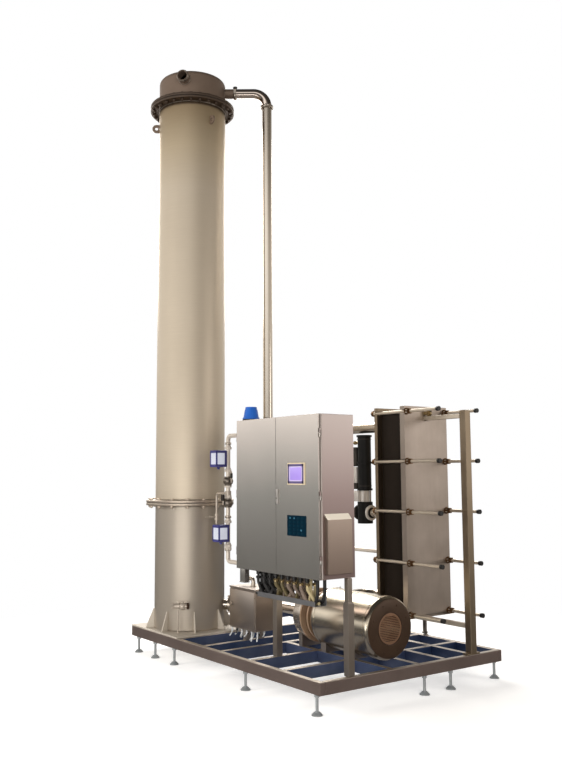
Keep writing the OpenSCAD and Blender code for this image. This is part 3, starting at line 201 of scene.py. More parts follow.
# steel that has been ground, blasted or polished
def steelFinish(name, dark, pale, rough, grain, cloud, patch=1.6, streak=0.35, metallic=1.0, bump=0.12, stain=None):
    made = Finish(name, metallic)
    grain, cloud = made.noise(grain, 4.0, 0.6), made.noise(cloud)
    tint = (cloud * patch - patch / 2 + 0.5).clip().blend(dark, pale)
    deep, bright = [c * 0.82 for c in dark], [min(1.0, c * 1.10) for c in pale]
    shade = (0.5 + (grain - 0.5) * streak).clip().blend(deep, bright)
    base = made.wire.mix(0.5, tint, shade)
    # painted shade: a ramp over height multiplies the base colour
    if stain:
        foot, head, stops = stain
        share = (made.axis("Z") - foot) / (head - foot)
        base = made.wire.mix(1.0, base, made.ramp(share, stops), "MULTIPLY")
    made.put("Base Color", base)
    low, high = rough
    made.put("Roughness", low + (high - low) * (0.6 * grain + 0.4 * cloud))
    made.bump(grain, bump, 0.0006)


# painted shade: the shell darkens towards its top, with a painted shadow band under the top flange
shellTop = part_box("upper_shell")[1].z
shellTopShade = (shellTop - 0.95, shellTop, [(0.0, (1.0, 1.0, 1.0)), (0.50, (0.84, 0.80, 0.71)),
                                        (0.955, (0.52, 0.455, 0.355)), (0.975, (0.16, 0.13, 0.11)),
                                        (1.0, (0.14, 0.115, 0.10))])
# painted shade: the motor shroud is darker towards its underside
shroudFoot, shroudTop = (corner.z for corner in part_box("motor_shroud"))
motorUnderShade = (shroudFoot, shroudTop, [(0.0, (0.50, 0.50, 0.55)), (0.30, (0.70, 0.70, 0.72)), (0.55, (1.0, 0.99, 0.95)),
                                   (1.0, (1.0, 0.98, 0.90))])

# dark and pale colour, range of roughness, scales of grain and cloud, and what differs from plain steel
shellLook = {"patch": 1.5, "streak": 0.5}
polish = {"patch": 0.8, "streak": 0.2}
steels = {
    "columnSteel": [(0.60, 0.515, 0.405), (0.78, 0.69, 0.565), (0.42, 0.52), (5, 5, 210), (1.6, 1.6, 0.7),
                    {**shellLook, "metallic": 0.75, "stain": shellTopShade}],
    # a dark copy of the column steel for the cap, nozzles and lugs: painted shade for the dim top of the column
    "capShadeSteel": [(0.180, 0.130, 0.102), (0.285, 0.215, 0.168), (0.42, 0.56), (7, 7, 170), 2.4, {"metallic": 0.6}],
    # a darker, greyer copy of the column steel for the lower shell: the greyer tone is its own, the darkening is
    # painted shade
    "lowerShadeSteel": [(0.43, 0.375, 0.315), (0.56, 0.505, 0.435), (0.36, 0.46), (5, 5, 210), (1.6, 1.6, 0.7),
                   {**shellLook, "metallic": 0.80}],
    "baseSteel": [(0.50, 0.45, 0.385), (0.64, 0.59, 0.52), (0.46, 0.58), 40, 3.0, {"metallic": 0.45}],
    # a dark copy of the flange steel for the top flanges and their bolts: painted shade for the dim top of the column
    "rimShadeSteel": [(0.135, 0.100, 0.078), (0.23, 0.178, 0.142), (0.40, 0.54), 60, 4.0, {"bump": 0.04}],
    "flangeSteel": [(0.60, 0.50, 0.41), (0.82, 0.72, 0.61), (0.36, 0.50), 60, 4.0, {"bump": 0.04}],
    "pipeSteel": [(0.62, 0.55, 0.47), (0.80, 0.74, 0.66), (0.17, 0.23), 14, 3.0, {**polish, "bump": 0.004}],
    "elbowSteel": [(0.58, 0.49, 0.43), (0.74, 0.66, 0.60), (0.06, 0.10), 14, 3.0, {**polish, "bump": 0.003}],
    "fittingSteel": [(0.54, 0.47, 0.40), (0.74, 0.67, 0.59), (0.22, 0.34), 70, 8.0, {"bump": 0.015}],
    "lineSteel": [(0.60, 0.53, 0.46), (0.80, 0.74, 0.67), (0.30, 0.42), 50, 8.0, {"metallic": 0.45, "bump": 0.01}],
    "cabinetSteel": [(0.38, 0.315, 0.30), (0.50, 0.42, 0.405), (0.32, 0.44), (330, 330, 2.2), (1.1, 1.1, 0.6),
                     {"streak": 0.45, "bump": 0.05}],
    "traySteel": [(0.17, 0.172, 0.18), (0.36, 0.365, 0.385), (0.24, 0.40), (6, 200, 200), 4.0,
                  {"patch": 2.6, "metallic": 0.8, "bump": 0.04}],
    "postSteel": [(0.40, 0.345, 0.30), (0.58, 0.51, 0.445), (0.30, 0.44), (200, 200, 4), 2.4, {}],
    "shroudSteel": [(0.50, 0.45, 0.38), (0.74, 0.67, 0.57), (0.18, 0.30), (3, 160, 160), 2.0,
                    {"bump": 0.05, "stain": motorUnderShade}],
    "plateSteel": [(0.43, 0.365, 0.31), (0.59, 0.515, 0.455), (0.36, 0.50), (40, 40, 3), 3.4,
                   {"patch": 3.4, "streak": 0.6}],
    "rodSteel": [(0.60, 0.515, 0.41), (0.78, 0.70, 0.59), (0.26, 0.34), 8, 5.0,
                 {"patch": 1.0, "streak": 0.2, "metallic": 0.7, "bump": 0.002}],
    "standSteel": [(0.29, 0.225, 0.155), (0.425, 0.345, 0.25), (0.34, 0.48), (40, 40, 5), 2.2, {"patch": 2.4}],
    "adapterBronze": [(0.31, 0.20, 0.125), (0.48, 0.34, 0.235), (0.34, 0.46), (240, 8, 8), 6.0,
                      {"metallic": 0.5, "bump": 0.02}],
    "footSteel": [(0.34, 0.37, 0.39), (0.56, 0.59, 0.61), (0.26, 0.38), 80, 20.0, {"metallic": 0.70, "bump": 0.03}],
    "nippleSteel": [(0.50, 0.53, 0.55), (0.72, 0.74, 0.76), (0.26, 0.38), 80, 20.0, {"metallic": 0.35, "bump": 0.03}],
    "boxSteel": [(0.45, 0.39, 0.34), (0.60, 0.525, 0.47), (0.30, 0.42), (4, 4, 220), 3.0, {}],
    "brass": [(0.40, 0.29, 0.14), (0.58, 0.46, 0.26), (0.20, 0.34), 90, 20.0, {}],
    "weldSteel": [(0.34, 0.29, 0.24), (0.56, 0.50, 0.43), (0.30, 0.46), 120, 20.0, {}],
    "handleSteel": [(0.38, 0.36, 0.345), (0.50, 0.475, 0.455), (0.34, 0.46), (200, 200, 6), 8.0,
                    {"metallic": 0.6, "bump": 0.03}],
    "yokeSteel": [(0.56, 0.53, 0.50), (0.74, 0.70, 0.665), (0.34, 0.46), (200, 200, 6), 8.0,
                  {"metallic": 0.55, "bump": 0.03}],
    "valveSteel": [(0.44, 0.385, 0.325), (0.66, 0.59, 0.515), (0.26, 0.38), 70, 12.0, {"metallic": 0.65, "bump": 0.01}],
    "valveGrey": [(0.150, 0.128, 0.108), (0.40, 0.355, 0.31), (0.28, 0.42), 70, 16.0, {"patch": 2.4, "bump": 0.01}],
    "nutBrown": [(0.16, 0.085, 0.04), (0.32, 0.19, 0.10), (0.32, 0.46), 80, 14.0, {}],
    "endBrown": [(0.034, 0.019, 0.011), (0.074, 0.043, 0.026), (0.34, 0.48), 60, 7.0, {"metallic": 0.5}],
    "fanCopper": [(0.38, 0.215, 0.13), (0.64, 0.39, 0.26), (0.34, 0.48), 30, 14.0, {}],
}
for name, look in steels.items():
    steelFinish(name, *look[:-1], **look[-1])


# moulded plastic with a faint orange peel
def plasticFinish(name, dark, pale, rough, peel=900.0, **more):
    made = Finish(name, **more)
    cloud = made.noise(9.0)
    made.put("Base Color", cloud.blend(dark, pale))
    fine = made.noise(peel, 2.0)
    made.put("Roughness", (fine * 0.5 + cloud * 0.5) * 0.16 + (rough - 0.08))
    made.bump(fine, 0.10, 0.0004)


def glow(*colour):
    return {"Emission Color": rgba(colour), "Emission Strength": 0.44}


# dark and pale colour, roughness, and what differs from plain plastic
rubber = {"peel": 300.0}
matt = {"Specular IOR Level": 0.05}
plastics = {
    "blackPlastic": [(0.006, 0.006, 0.007), (0.018, 0.018, 0.018), 0.42, {}],
    "gasketBlack": [(0.015, 0.013, 0.012), (0.04, 0.035, 0.03), 0.70, rubber],
    # the seals are grey rubber, and their tone is set pale so the shaded gap behind the door edges reads lighter:
    # painted light
    "sealGrey": [(0.27, 0.235, 0.22), (0.36, 0.32, 0.30), 0.70, rubber],
    "meterBlue": [(0.024, 0.026, 0.135), (0.050, 0.050, 0.215), 0.36, {}],
    # painted light: the meter panes glow faintly, though they are no lamps
    "paneGlow": [(0.20, 0.21, 0.25), (0.27, 0.28, 0.33), 0.28, glow(0.84, 0.88, 1.0)],
    "marginPale": [(0.28, 0.25, 0.34), (0.36, 0.33, 0.42), 0.30, glow(0.66, 0.56, 0.86)],
    "conduitOlive": [(0.055, 0.044, 0.020), (0.12, 0.095, 0.045), 0.46, {}],
    "conduitBrown": [(0.085, 0.062, 0.048), (0.17, 0.13, 0.105), 0.50, {}],
    "conduitYellow": [(0.26, 0.215, 0.115), (0.40, 0.34, 0.20), 0.44, {}],
    "bezelBeige": [(0.52, 0.43, 0.30), (0.62, 0.53, 0.38), 0.40, {}],
    "bezelDark": [(0.06, 0.045, 0.14), (0.10, 0.08, 0.20), 0.34, {}],
    "keyLight": [(0.035, 0.16, 0.26), (0.07, 0.24, 0.36), 0.40, {}],
    "keyTop": [(0.0005, 0.012, 0.024), (0.001, 0.019, 0.034), 0.60, matt],
    "keyTeal": [(0.0003, 0.008, 0.018), (0.0006, 0.015, 0.028), 0.66, matt],
}
for name, look in plastics.items():
    plasticFinish(name, *look[:-1], **look[-1])

# painted light: beams are painted pale on top as if lit from above, darker on their outer sides, and deep blue inside
# the bays, a painted reflection of a blue floor
beamLook = {
    "side": [(0.215, 0.165, 0.152), (0.35, 0.275, 0.248)],
    "bay": [(0.050, 0.090, 0.195), (0.165, 0.200, 0.325)],
    "top": [(0.43, 0.375, 0.315), (0.56, 0.50, 0.425)],
    "skin": 0.004,
}


def beamFinish():
    made = Finish("beamSteel", metallic=0.85)
    grain, cloud = made.noise((3, 140, 140), 4.0), made.noise(2.6)
    # painted reflection: the faces inside the bays are deep blue
    bay = ((cloud - 0.5) * 2.2 + 0.5).clip().blend(*beamLook["bay"])
    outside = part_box("long_beams")[1]
    outerX = abs(made.axis("X")) > outside.x - beamLook["skin"]
    outerY = abs(made.axis("Y")) > outside.y - beamLook["skin"]
    wall = (outerX + outerY).clip().blend(bay, cloud.blend(*beamLook["side"]))
    # painted light: faces that look up take the pale top tone
    base = made.facing("Z").clip().blend(wall, cloud.blend(*beamLook["top"]))
    made.put("Base Color", made.wire.mix(0.7, base, (grain * 0.35 + 0.825).clip(), "MULTIPLY"))
    made.put("Roughness", (grain * 0.5 + cloud * 0.5) * 0.16 + 0.28)
    made.bump(grain, 0.10, 0.0005)


# brushed sheet with a painted reflection that pales towards its top, as the doors, the cover and the cabinet sides do,
# with a painted highlight on a sloped top and a flat tone painted on the door edges for their pale edge line
def sheetFinish(name, node, stops, rough, slopeHighlight=None, edge=None):
    low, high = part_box(node)
    made = Finish(name, metallic=0.85)
    grain, cloud = made.noise((330, 330, 2.2), 4.0, 0.6), made.noise((1.1, 1.1, 0.6))
    # painted reflection: the tone runs by height from the foot of the sheet to its top
    share = (made.axis("Z") - low.z) / (high.z - low.z) + (cloud - 0.5) * 0.25
    tint = made.ramp(share, stops)
    # painted highlight: a sloped top is pale and not metallic
    if slopeHighlight:
        tilted = made.facing("Z") > 0.3
        tint = tilted.blend(tint, slopeHighlight)
        made.put("Metallic", 0.85 - tilted * 0.85)
    # painted highlight: faces along the edges take one flat tone
    if edge:
        tint = (abs(made.facing("Y")) > 0.5).blend(edge, tint)
    made.put("Base Color", made.wire.mix(0.8, tint, (grain * 0.14 + 0.93).clip(), "MULTIPLY"))
    made.put("Roughness", grain * 0.03 + cloud * 0.08 + rough)
    made.bump(grain, 0.01, 0.0004)


# painted reflection: tones by height for the doors, the side cover and the cabinet sides
doorReflection = [(0.0, (0.36, 0.35, 0.33)), (0.5, (0.50, 0.49, 0.465)), (1.0, (0.86, 0.79, 0.74))]
coverReflection = [(0.0, (0.32, 0.245, 0.205)), (1.0, (0.44, 0.355, 0.30))]
sideReflection = [(0.0, (0.27, 0.20, 0.19)), (0.5, (0.34, 0.265, 0.255)), (1.0, (0.48, 0.42, 0.40))]

# the valve is black, with a steel yoke between body and actuator
valveSet = {"body": 0.210, "actuator": 0.545, "radius": 0.066}


def valveFinish():
    low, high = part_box("control_valve")
    made = Finish("valveBlack", **{"Specular IOR Level": 0.25})
    cloud, fine = made.noise(9.0), made.noise(500.0, 2.0)
    height = made.axis("Z")
    above, below = height > low.z + valveSet["body"] + 0.001, height < high.z - valveSet["actuator"] - 0.001
    yoke = above * below
    black = cloud.blend((0.003, 0.003, 0.003), (0.009, 0.009, 0.009))
    steel = cloud.blend((0.52, 0.47, 0.42), (0.70, 0.65, 0.59))
    made.put("Base Color", yoke.blend(black, steel))
    made.put("Metallic", yoke * 0.8)
    made.put("Roughness", fine * 0.10 + 0.34)
    made.bump(fine, 0.06, 0.0004)


# the pack is dark, with fine ridges
def packFinish():
    made = Finish("packDark", metallic=0.6)
    cloud = made.noise((4, 4, 2))
    made.put("Base Color", cloud.blend((0.018, 0.013, 0.010), (0.060, 0.045, 0.035)))
    made.put("Roughness", cloud * 0.2 + 0.42)
    made.bump(made.noise((400, 40, 8)), 0.2, 0.001)


# a lit panel behind glass
def screenFinish():
    more = {"Base Color": rgba((0.10, 0.07, 0.2)), "Emission Strength": 0.75, "Coat Weight": 0.4}
    made = Finish("screenGlow", roughness=0.18, **more)
    made.put("Emission Color", made.noise((6, 6, 9)).blend((0.42, 0.29, 0.80), (0.50, 0.38, 0.92)))


# the beacon's lens is a deep blue
def lensFinish():
    made = Finish("lensBlue", **{"Specular IOR Level": 0.25})
    haze = made.noise(14.0)
    made.put("Base Color", haze.blend((0.010, 0.073, 0.345), (0.021, 0.128, 0.50)))
    made.put("Roughness", haze * 0.12 + 0.24)


beamFinish()
# the doors get a painted edge highlight, the cover a painted highlight on its sloped top
sheetFinish("doorSteel", "right_door", doorReflection, 0.20, edge=(0.36, 0.33, 0.31))
sheetFinish("coverSteel", "side_cover", coverReflection, 0.28, slopeHighlight=(0.86, 0.80, 0.70))
sheetFinish("sideSteel", "cabinet_sides", sideReflection, 0.32)
valveFinish()
packFinish()
screenFinish()
lensFinish()
print("finishes made:", len(finishes))

dress = {
    "beamSteel": ["long_beams", "end_beams", "cross_beams", "stringers"],
    "footSteel": ["skid_feet"],
    "columnSteel": ["upper_shell"],
    "lowerShadeSteel": ["lower_shell"],
    "baseSteel": ["column_base", "column_gussets"],
    "capShadeSteel": ["column_cap", "vent_nozzle", "cap_outlet", "lifting_lugs"],
    "flangeSteel": ["middle_flanges"],
    "rimShadeSteel": ["top_flanges"],
    "gasketBlack": ["flange_gaskets"],
    "elbowSteel": ["riser_elbow"],
    "pipeSteel": ["riser_pipe", "column_outlet", "suction_line", "discharge_line", "valve_branch"],
    "lineSteel": ["metering_line"],
    "valveSteel": ["small_valves"],
    "fittingSteel": ["pipe_clamps", "pump_casing"],
    "rodSteel": ["tie_rods", "plate_bars"],
    "standSteel": ["frame_plate", "end_post"],
    "adapterBronze": ["pump_adapter"],
    "shroudSteel": ["motor_shroud"],
    "fanCopper": ["fan_grille"],
    "postSteel": ["pump_cradles", "gas_box_stand", "cabinet_posts", "plate_feet"],
    "boxSteel": ["gas_box"],
    "plateSteel": ["pressure_plate"],
    "packDark": ["plate_pack"],
    "blackPlastic": ["rod_caps", "beacon_base", "cable_glands"],
    "valveBlack": ["control_valve"],
    "traySteel": ["cable_tray"],
    "brass": ["plate_roller"],
    "meterBlue": ["flow_meters"],
    "doorSteel": ["left_door", "right_door"],
    "sideSteel": ["cabinet_sides"],
    "cabinetSteel": ["cabinet_roof", "cabinet_back", "cabinet_floor", "mounting_plate"],
    "coverSteel": ["side_cover"],
    "handleSteel": ["door_handle"],
    "bezelBeige": ["operator_display"],
    "keyTeal": ["key_panel"],
    "lensBlue": ["beacon_lens"],
}
for finish, names in dress.items():
    for name in names:
        data = nodes[name].data
        data.materials.clear()
        data.materials.append(finishes[finish])
print("nodes dressed:", sum(len(n) for n in dress.values()))

# narrow rounded edges on the sheet metal and the sections, by width
edges = {
    0.001: ["column_gussets", "key_panel"],
    0.0012: ["cabinet_roof"],
    0.002: ["column_base", "middle_flanges", "top_flanges", "pipe_clamps"],
    0.003: ["left_door", "right_door", "frame_plate", "pressure_plate", "operator_display"],
    0.004: ["gas_box", "side_cover", "plate_bars", "pump_cradles", "rod_caps"],
    0.005: ["cross_beams", "stringers", "cabinet_posts"],
    0.006: ["long_beams", "end_beams", "end_post"],
    0.008: ["flow_meters"],
}
edgeSet = {"weld": 0.00005, "steps": 2, "angle": 50}


def softenEdges():
    for width, names in edges.items():
        for name in names:
            weld = nodes[name].modifiers.new("weld", "WELD")
            weld.merge_threshold = edgeSet["weld"]
            bevel = nodes[name].modifiers.new("edge", "BEVEL")
            bevel.width, bevel.segments = width, edgeSet["steps"]
            bevel.limit_method, bevel.angle_limit = "ANGLE", math.radians(edgeSet["angle"])
            bevel.harden_normals = True


softenEdges()
print("edges softened:", sum(len(n) for n in edges.values()))


# a path whose corners are rounded off
def rounded(points, bend, steps=6):
    points = [Vector(p) for p in points]
    path = [points[0]]
    for before, corner, after in zip(points, points[1:], points[2:]):
        back, on = (before - corner), (after - corner)
        half = back.angle(on) / 2
        reach = min(bend / math.tan(half), back.length * 0.49, on.length * 0.49)
        start, end = corner + back.normalized() * reach, corner + on.normalized() * reach
        for k in range(steps + 1):
            t = k / steps
            path.append(start * (1 - t) ** 2 + corner * (2 * t * (1 - t)) + end * t ** 2)
    path.append(points[-1])
    return path


def circle(count):
    return [math.tau * i / count for i in range(count)]


# small solids gathered into one mesh
class Solid:
    smoothTo = math.radians(40)

    def __init__(self):
        self.mesh = bmesh.new()

    # (radius, height) points turned about an axis
    def lathe(self, profile, at, axis=up, sides=24, closed=False):
        turn = Matrix.Translation(at) @ Vector(axis).to_track_quat("Z", "Y").to_matrix().to_4x4()
        rings = []
        for radius, height in profile:
            places = [Vector((radius * math.cos(a), radius * math.sin(a), height))
                      for a in circle(sides if radius > 1e-6 else 1)]
            rings.append([self.mesh.verts.new(turn @ place) for place in places])
        for low, high in list(zip(rings, rings[1:])) + ([(rings[-1], rings[0])] if closed else []):
            for i in range(sides):
                j = (i + 1) % sides
                corners = [low[i % len(low)], low[j % len(low)], high[j % len(high)], high[i % len(high)]]
                corners = list(dict.fromkeys(corners))
                if len(corners) > 2:
                    self.mesh.faces.new(corners)

    # a drum with a small chamfer at both ends
    def drum(self, at, axis, radius, height, sides=24, edge=0.1):
        cut = min(radius, height) * edge
        side = [(radius - cut, 0), (radius, cut), (radius, height - cut), (radius - cut, height)]
        self.lathe([(0, 0)] + side + [(0, height)], at, axis, sides)

    # a flat ring with chamfered edges
    def ring(self, at, axis, inner, outer, height, sides=48):
        cut = min(outer - inner, height) * 0.15
        side = [(outer - cut, 0), (outer, cut), (outer, height - cut), (outer - cut, height)]
        self.lathe([(inner, 0)] + side + [(inner, height)], at, axis, sides, True)

    # a round bead, such as a weld, laid about an axis
    def bead(self, at, axis, ring, radius, sides=64):
        self.lathe([(ring + radius * math.cos(a), radius * math.sin(a)) for a in circle(8)], at, axis, sides, True)

    def block(self, centre, size, axes=(alongX, alongY, up), edge=0.0):
        corners = bmesh.ops.create_cube(self.mesh, size=1.0)["verts"]
        for corner in corners:
            corner.co = Vector(centre) + sum((axes[k] * (corner.co[k] * size[k]) for k in range(3)), Vector())
        if edge:
            rim = list(dict.fromkeys(e for corner in corners for e in corner.link_edges))
            bmesh.ops.bevel(self.mesh, geom=rim, offset=edge, segments=2, profile=0.5, affect="EDGES")

    # four bars round an upright opening
    def frame(self, centre, reach, length, bar, deep, edge=0.0):
        for hand in hands:
            self.block(centre + alongX * (hand * reach[0]), (bar, deep, length[1]), edge=edge)
            self.block(centre + up * (hand * reach[1]), (length[0], deep, bar), edge=edge)

    # a round bar or tube along a path
    def rod(self, points, radius, bend=0.0, sides=12):
        path = rounded(points, bend) if bend else [Vector(p) for p in points]
        ways = [(b - a).normalized() for a, b in zip(path, path[1:])]
        ways = [ways[0]] + [(a + b).normalized() for a, b in zip(ways, ways[1:])] + [ways[-1]]
        side = ways[0].orthogonal().normalized()
        rings = []
        for at, way in zip(path, ways):
            side = (side - way * side.dot(way)).normalized()
            across = way.cross(side)
            places = [at + side * (radius * math.cos(a)) + across * (radius * math.sin(a)) for a in circle(sides)]
            rings.append([self.mesh.verts.new(place) for place in places])
        for low, high in zip(rings, rings[1:]):
            for i in range(sides):
                self.mesh.faces.new([low[i], low[(i + 1) % sides], high[(i + 1) % sides], high[i]])
        self.mesh.faces.new(rings[0])
        self.mesh.faces.new(rings[-1])

    def hexagon(self, at, axis, corner, height):
        side = [(corner, 0), (corner, height * 0.88), (corner * 0.88, height)]
        self.lathe([(0, 0)] + side + [(0, height)], at, axis, 6)

    # washer and head, or a nut with the end of the thread, sized by the thread
    def bolt(self, at, axis, thread, tall=0.66, stub=0.0):
        self.drum(at, axis, thread * 1.05, thread * 0.16, 16)
        self.hexagon(at + axis * (thread * 0.16), axis, thread * 0.95, thread * tall)
        if stub:
            self.drum(at + axis * (thread * 0.90), axis, thread * 0.5, stub, 12, 0.2)

    def finish(self, name, finish, slot="polished", body="root"):
        bmesh.ops.recalc_face_normals(self.mesh, faces=self.mesh.faces)
        data = bpy.data.meshes.new(name)
        self.mesh.to_mesh(data)
        self.mesh.free()
        data.materials.append(finishes[finish])
        data.polygons.foreach_set("use_smooth", [True] * len(data.polygons))
        data.set_sharp_from_angle(angle=self.smoothTo)
        made = bpy.data.objects.new(name, data)
        bpy.context.scene.collection.objects.link(made)
        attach(made, body)
        return made


# bolts round both flange pairs, heads up and nuts below
flangeBolts = {"ring": 0.418, "thread": 0.020, "nut": 0.80, "stub": 0.010,
               "pairs": {"top_flanges": (28, "rimShadeSteel"), "middle_flanges": (16, "flangeSteel")}}


def makeFlangeBolts():
    ring, thread = flangeBolts["ring"], flangeBolts["thread"]
    for node, (count, finish) in flangeBolts["pairs"].items():
        low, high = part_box(node)
        solid = Solid()
        for i in range(count):
            angle = 360 * (i + 0.5) / count
            solid.bolt(polar(column, angle, ring, high.z), up, thread)
            solid.bolt(polar(column, angle, ring, low.z), -up, thread, flangeBolts["nut"], flangeBolts["stub"])
        solid.finish(node + "_bolts", finish)


makeFlangeBolts()

# weld beads where the shells, the cap and the nozzles meet
welds = {"shell": 0.006, "pipe": 0.005, "sink": 0.002, "inset": 0.003,
         "nozzles": [("cap_outlet", "riser", "column_cap"), ("vent_nozzle", "vent", "column_cap"),
                     ("column_outlet", "outlet", "upper_shell")]}


def makeWelds():
    solid, sink = Solid(), welds["sink"]
    for node in ("lower_shell", "upper_shell", "column_cap"):
        low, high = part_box(node)
        for z in (low.z + sink, high.z - sink)[:1 if node == "column_cap" else 2]:
            solid.bead(Vector((column.x, column.y, z)), up, halfSize(node).x, welds["shell"], 96)
    for node, turn, wall in welds["nozzles"]:
        at = polar(column, turns[turn], halfSize(wall).x - welds["inset"], middle(node).z)
        solid.bead(at, heading(turns[turn]), halfSize(node).z + sink, welds["pipe"], 48)
    solid.finish("column_welds", "weldSteel", "stainless")


makeWelds()

# bolted lugs on the pipe clamps, each with a wing nut, and a knob on the first
clampSet = {"reach": 0.069, "lug": (0.024, 0.012, 0.026), "part": 0.011, "hinge": (0.016, 0.018, 0.022),
            "screw": (-0.026, 0.044, 0.0045), "head": (0.009, 0.008), "nut": (0.009, 0.014),
            "wing": (0.020, 0.005, 0.012),
            "knob": [(0, 0), (0.018, 0), (0.019, 0.006), (0.024, 0.012), (0.025, 0.018), (0.022, 0.025), (0.012, 0.028),
                     (0, 0.028)]}
casing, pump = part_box("pump_casing"), middle("motor_shroud")
clampPlaces = [  # the place, the pipe's way, and the way the lugs point
    (polar(column, turns["riser"], 0.470, 5.994), heading(turns["riser"]), heading(turns["riser"] + 90)),
    (Vector((-0.660, 0.071, 5.837)), up, heading(turns["riser"] - 90)),
    (polar(column, turns["outlet"], 0.420, 0.485), heading(turns["outlet"]), up),
    (Vector((casing[0].x, pump.y, pump.z)), alongX, up),
    (Vector((casing[0].x + 0.110, casing[1].y, pump.z + 0.130)), alongY, up),
]


def makeClampLugs():
    solid, knob, reach = Solid(), Solid(), clampSet["reach"]
    start, end, screw = clampSet["screw"]
    for at, axis, out in clampPlaces:
        across = axis.cross(out).normalized()
        seat, axes = at + out * (reach + 0.006), (out, across, axis)
        for hand in hands:
            solid.block(seat + across * (hand * clampSet["part"]), clampSet["lug"], axes, 0.002)
            solid.block(at - out * (reach + 0.002) + across * (hand * 0.012), clampSet["hinge"], axes, 0.002)
        solid.rod([seat + across * start, seat + across * end], screw)
        solid.hexagon(seat - across * 0.017, -across, *clampSet["head"])
        solid.drum(seat + across * 0.018, across, *clampSet["nut"], 16)
        for hand in hands:
            wing = (out * 0.8 * hand + across * 0.6).normalized()
            axes = (wing, wing.cross(axis), axis)
            solid.block(seat - across * start + wing * 0.016, clampSet["wing"], axes, 0.0015)
    solid.finish("clamp_lugs", "fittingSteel")
    knob.lathe(clampSet["knob"], clampPlaces[0][0] + up * (reach - 0.016))
    knob.finish("clamp_knob", "blackPlastic", "black_plastic")


makeClampLugs()

# drain valve: a hexagon, rings and a ball on its body, and a dark cap at its end
drainSet = {"out": 0.068, "z": 0.270, "left": 0.106, "right": 0.048, "ball": 0.036, "along": 0.008,
            "nut": (0.029, 0.032), "rings": [(-0.040, 0.021, 0.028, 0.014), (0.020, 0.021, 0.027, 0.010)],
            "cap": [(0, 0), (0.020, 0), (0.031, 0.004), (0.032, 0.016), (0.026, 0.022), (0.014, 0.019), (0, 0.018)]}


def makeDrainTrim():
    across = up.cross(heading(turns["drain"]))
    at = polar(column, turns["drain"], shellR + drainSet["out"], skidTop + drainSet["z"])
    trim, cap, ball = Solid(), Solid(), drainSet["ball"]
    trim.hexagon(at - across * drainSet["left"], across, *drainSet["nut"])
    for along, *ring in drainSet["rings"]:
        trim.ring(at + across * along, across, *ring, 32)
    steps = [math.radians(a) for a in range(0, 181, 20)]
    trim.lathe([(ball * math.sin(a), -ball * math.cos(a)) for a in steps], at + across * drainSet["along"], up, 32)
    trim.finish("drain_trim", "valveSteel")
    cap.lathe(drainSet["cap"], at + across * drainSet["right"], across, 28)
    cap.finish("drain_cap", "endBrown")


makeDrainTrim()

# bright lip round the open end of the vent
ventLip = {"lip": 0.007, "inset": 0.004, "bead": 0.003, "back": 0.018}


def makeVentLip():
    pipe, way = halfSize("vent_nozzle").z, heading(turns["vent"])
    reach = (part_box("vent_nozzle")[1].x - column.x - abs(way.y) * pipe) / way.x
    mouth = polar(column, turns["vent"], reach - ventLip["inset"], middle("vent_nozzle").z)
    solid = Solid()
    solid.bead(mouth, way, pipe - 0.001, ventLip["lip"], 40)
    solid.bead(mouth - way * ventLip["back"], way, pipe, ventLip["bead"], 40)
    solid.finish("vent_lip", "weldSteel")


makeVentLip()
print("column fittings made")

# flow meters: a framed pale pane on two sides of each, and a gland below
meterSet = {"tall": 0.165, "wide": 0.130, "outer": 0.030, "corner": 0.007, "ends": 0.021, "rim": 0.012, "deep": 0.006,
            "pane": 0.003, "rows": (0.24, 0.06, -0.10, -0.28), "line": (0.62, 0.0016, 0.003)}


def makeMeters():
    low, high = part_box("flow_meters")
    outer, corner, rim, deep = (meterSet[k] for k in ("outer", "corner", "rim", "deep"))
    half = Vector((meterSet["wide"] / 2, (high.y - low.y) / 2, meterSet["tall"] / 2))
    lower = Vector((high.x - half.x, low.y + half.y, low.z + half.z))
    upper = Vector((low.x + half.x, low.y + half.y, high.z - half.z))
    tall = meterSet["tall"] - 2 * meterSet["ends"]
    share, proud, thin = meterSet["line"]
    for name, centre in (("lower", lower), ("upper", upper)):
        panes, frames = Solid(), Solid()
        for out, across, wide, back in ((-alongY, alongX, half.x, half.y), (alongX, -alongY, half.y, half.x)):
            axes, side = (across, out, up), 2 * wide - outer - corner
            face = centre + out * back + across * ((outer - corner) / 2)
            panes.block(face + out * 0.0015, (side, meterSet["pane"], tall), axes, 0.001)
            for hand in hands:
                bar = rim / (1 if hand < 0 else 2)
                edge = face + out * 0.002
                frames.block(edge + across * (hand * (side + bar) / 2), (bar, deep, tall + rim), axes, 0.0015)
                frames.block(edge + up * (hand * tall / 2), (side + rim, deep, rim), axes, 0.0015)
            for row in meterSet["rows"]:
                panes.block(face + out * 0.003 + up * (row * tall), (side * share, proud, thin), axes)
        panes.finish(name + "_meter_panes", "paneGlow", "blue_plastic")
        frames.drum(centre - up * (half.z + 0.022), up, 0.013, 0.024, 16)
        frames.hexagon(centre - up * (half.z + 0.008), up, 0.017, 0.008)
        frames.finish(name + "_meter_frames", "meterBlue", "blue_plastic")


makeMeters()

# union nuts along the metering line
unions = {"at": (-0.400, -0.592), "heights": (1.085, 1.115, 1.345, 1.590, 1.690, 1.842, 2.062),
          "nut": (0.034, 0.026), "collar": (0.021, 0.027, 0.012)}


def makeUnions():
    solid = Solid()
    for z in unions["heights"]:
        foot = Vector((*unions["at"], z))
        solid.hexagon(foot, up, *unions["nut"])
        solid.ring(foot + up * unions["nut"][1], up, *unions["collar"], 24)
    solid.finish("metering_unions", "lineSteel")


makeUnions()

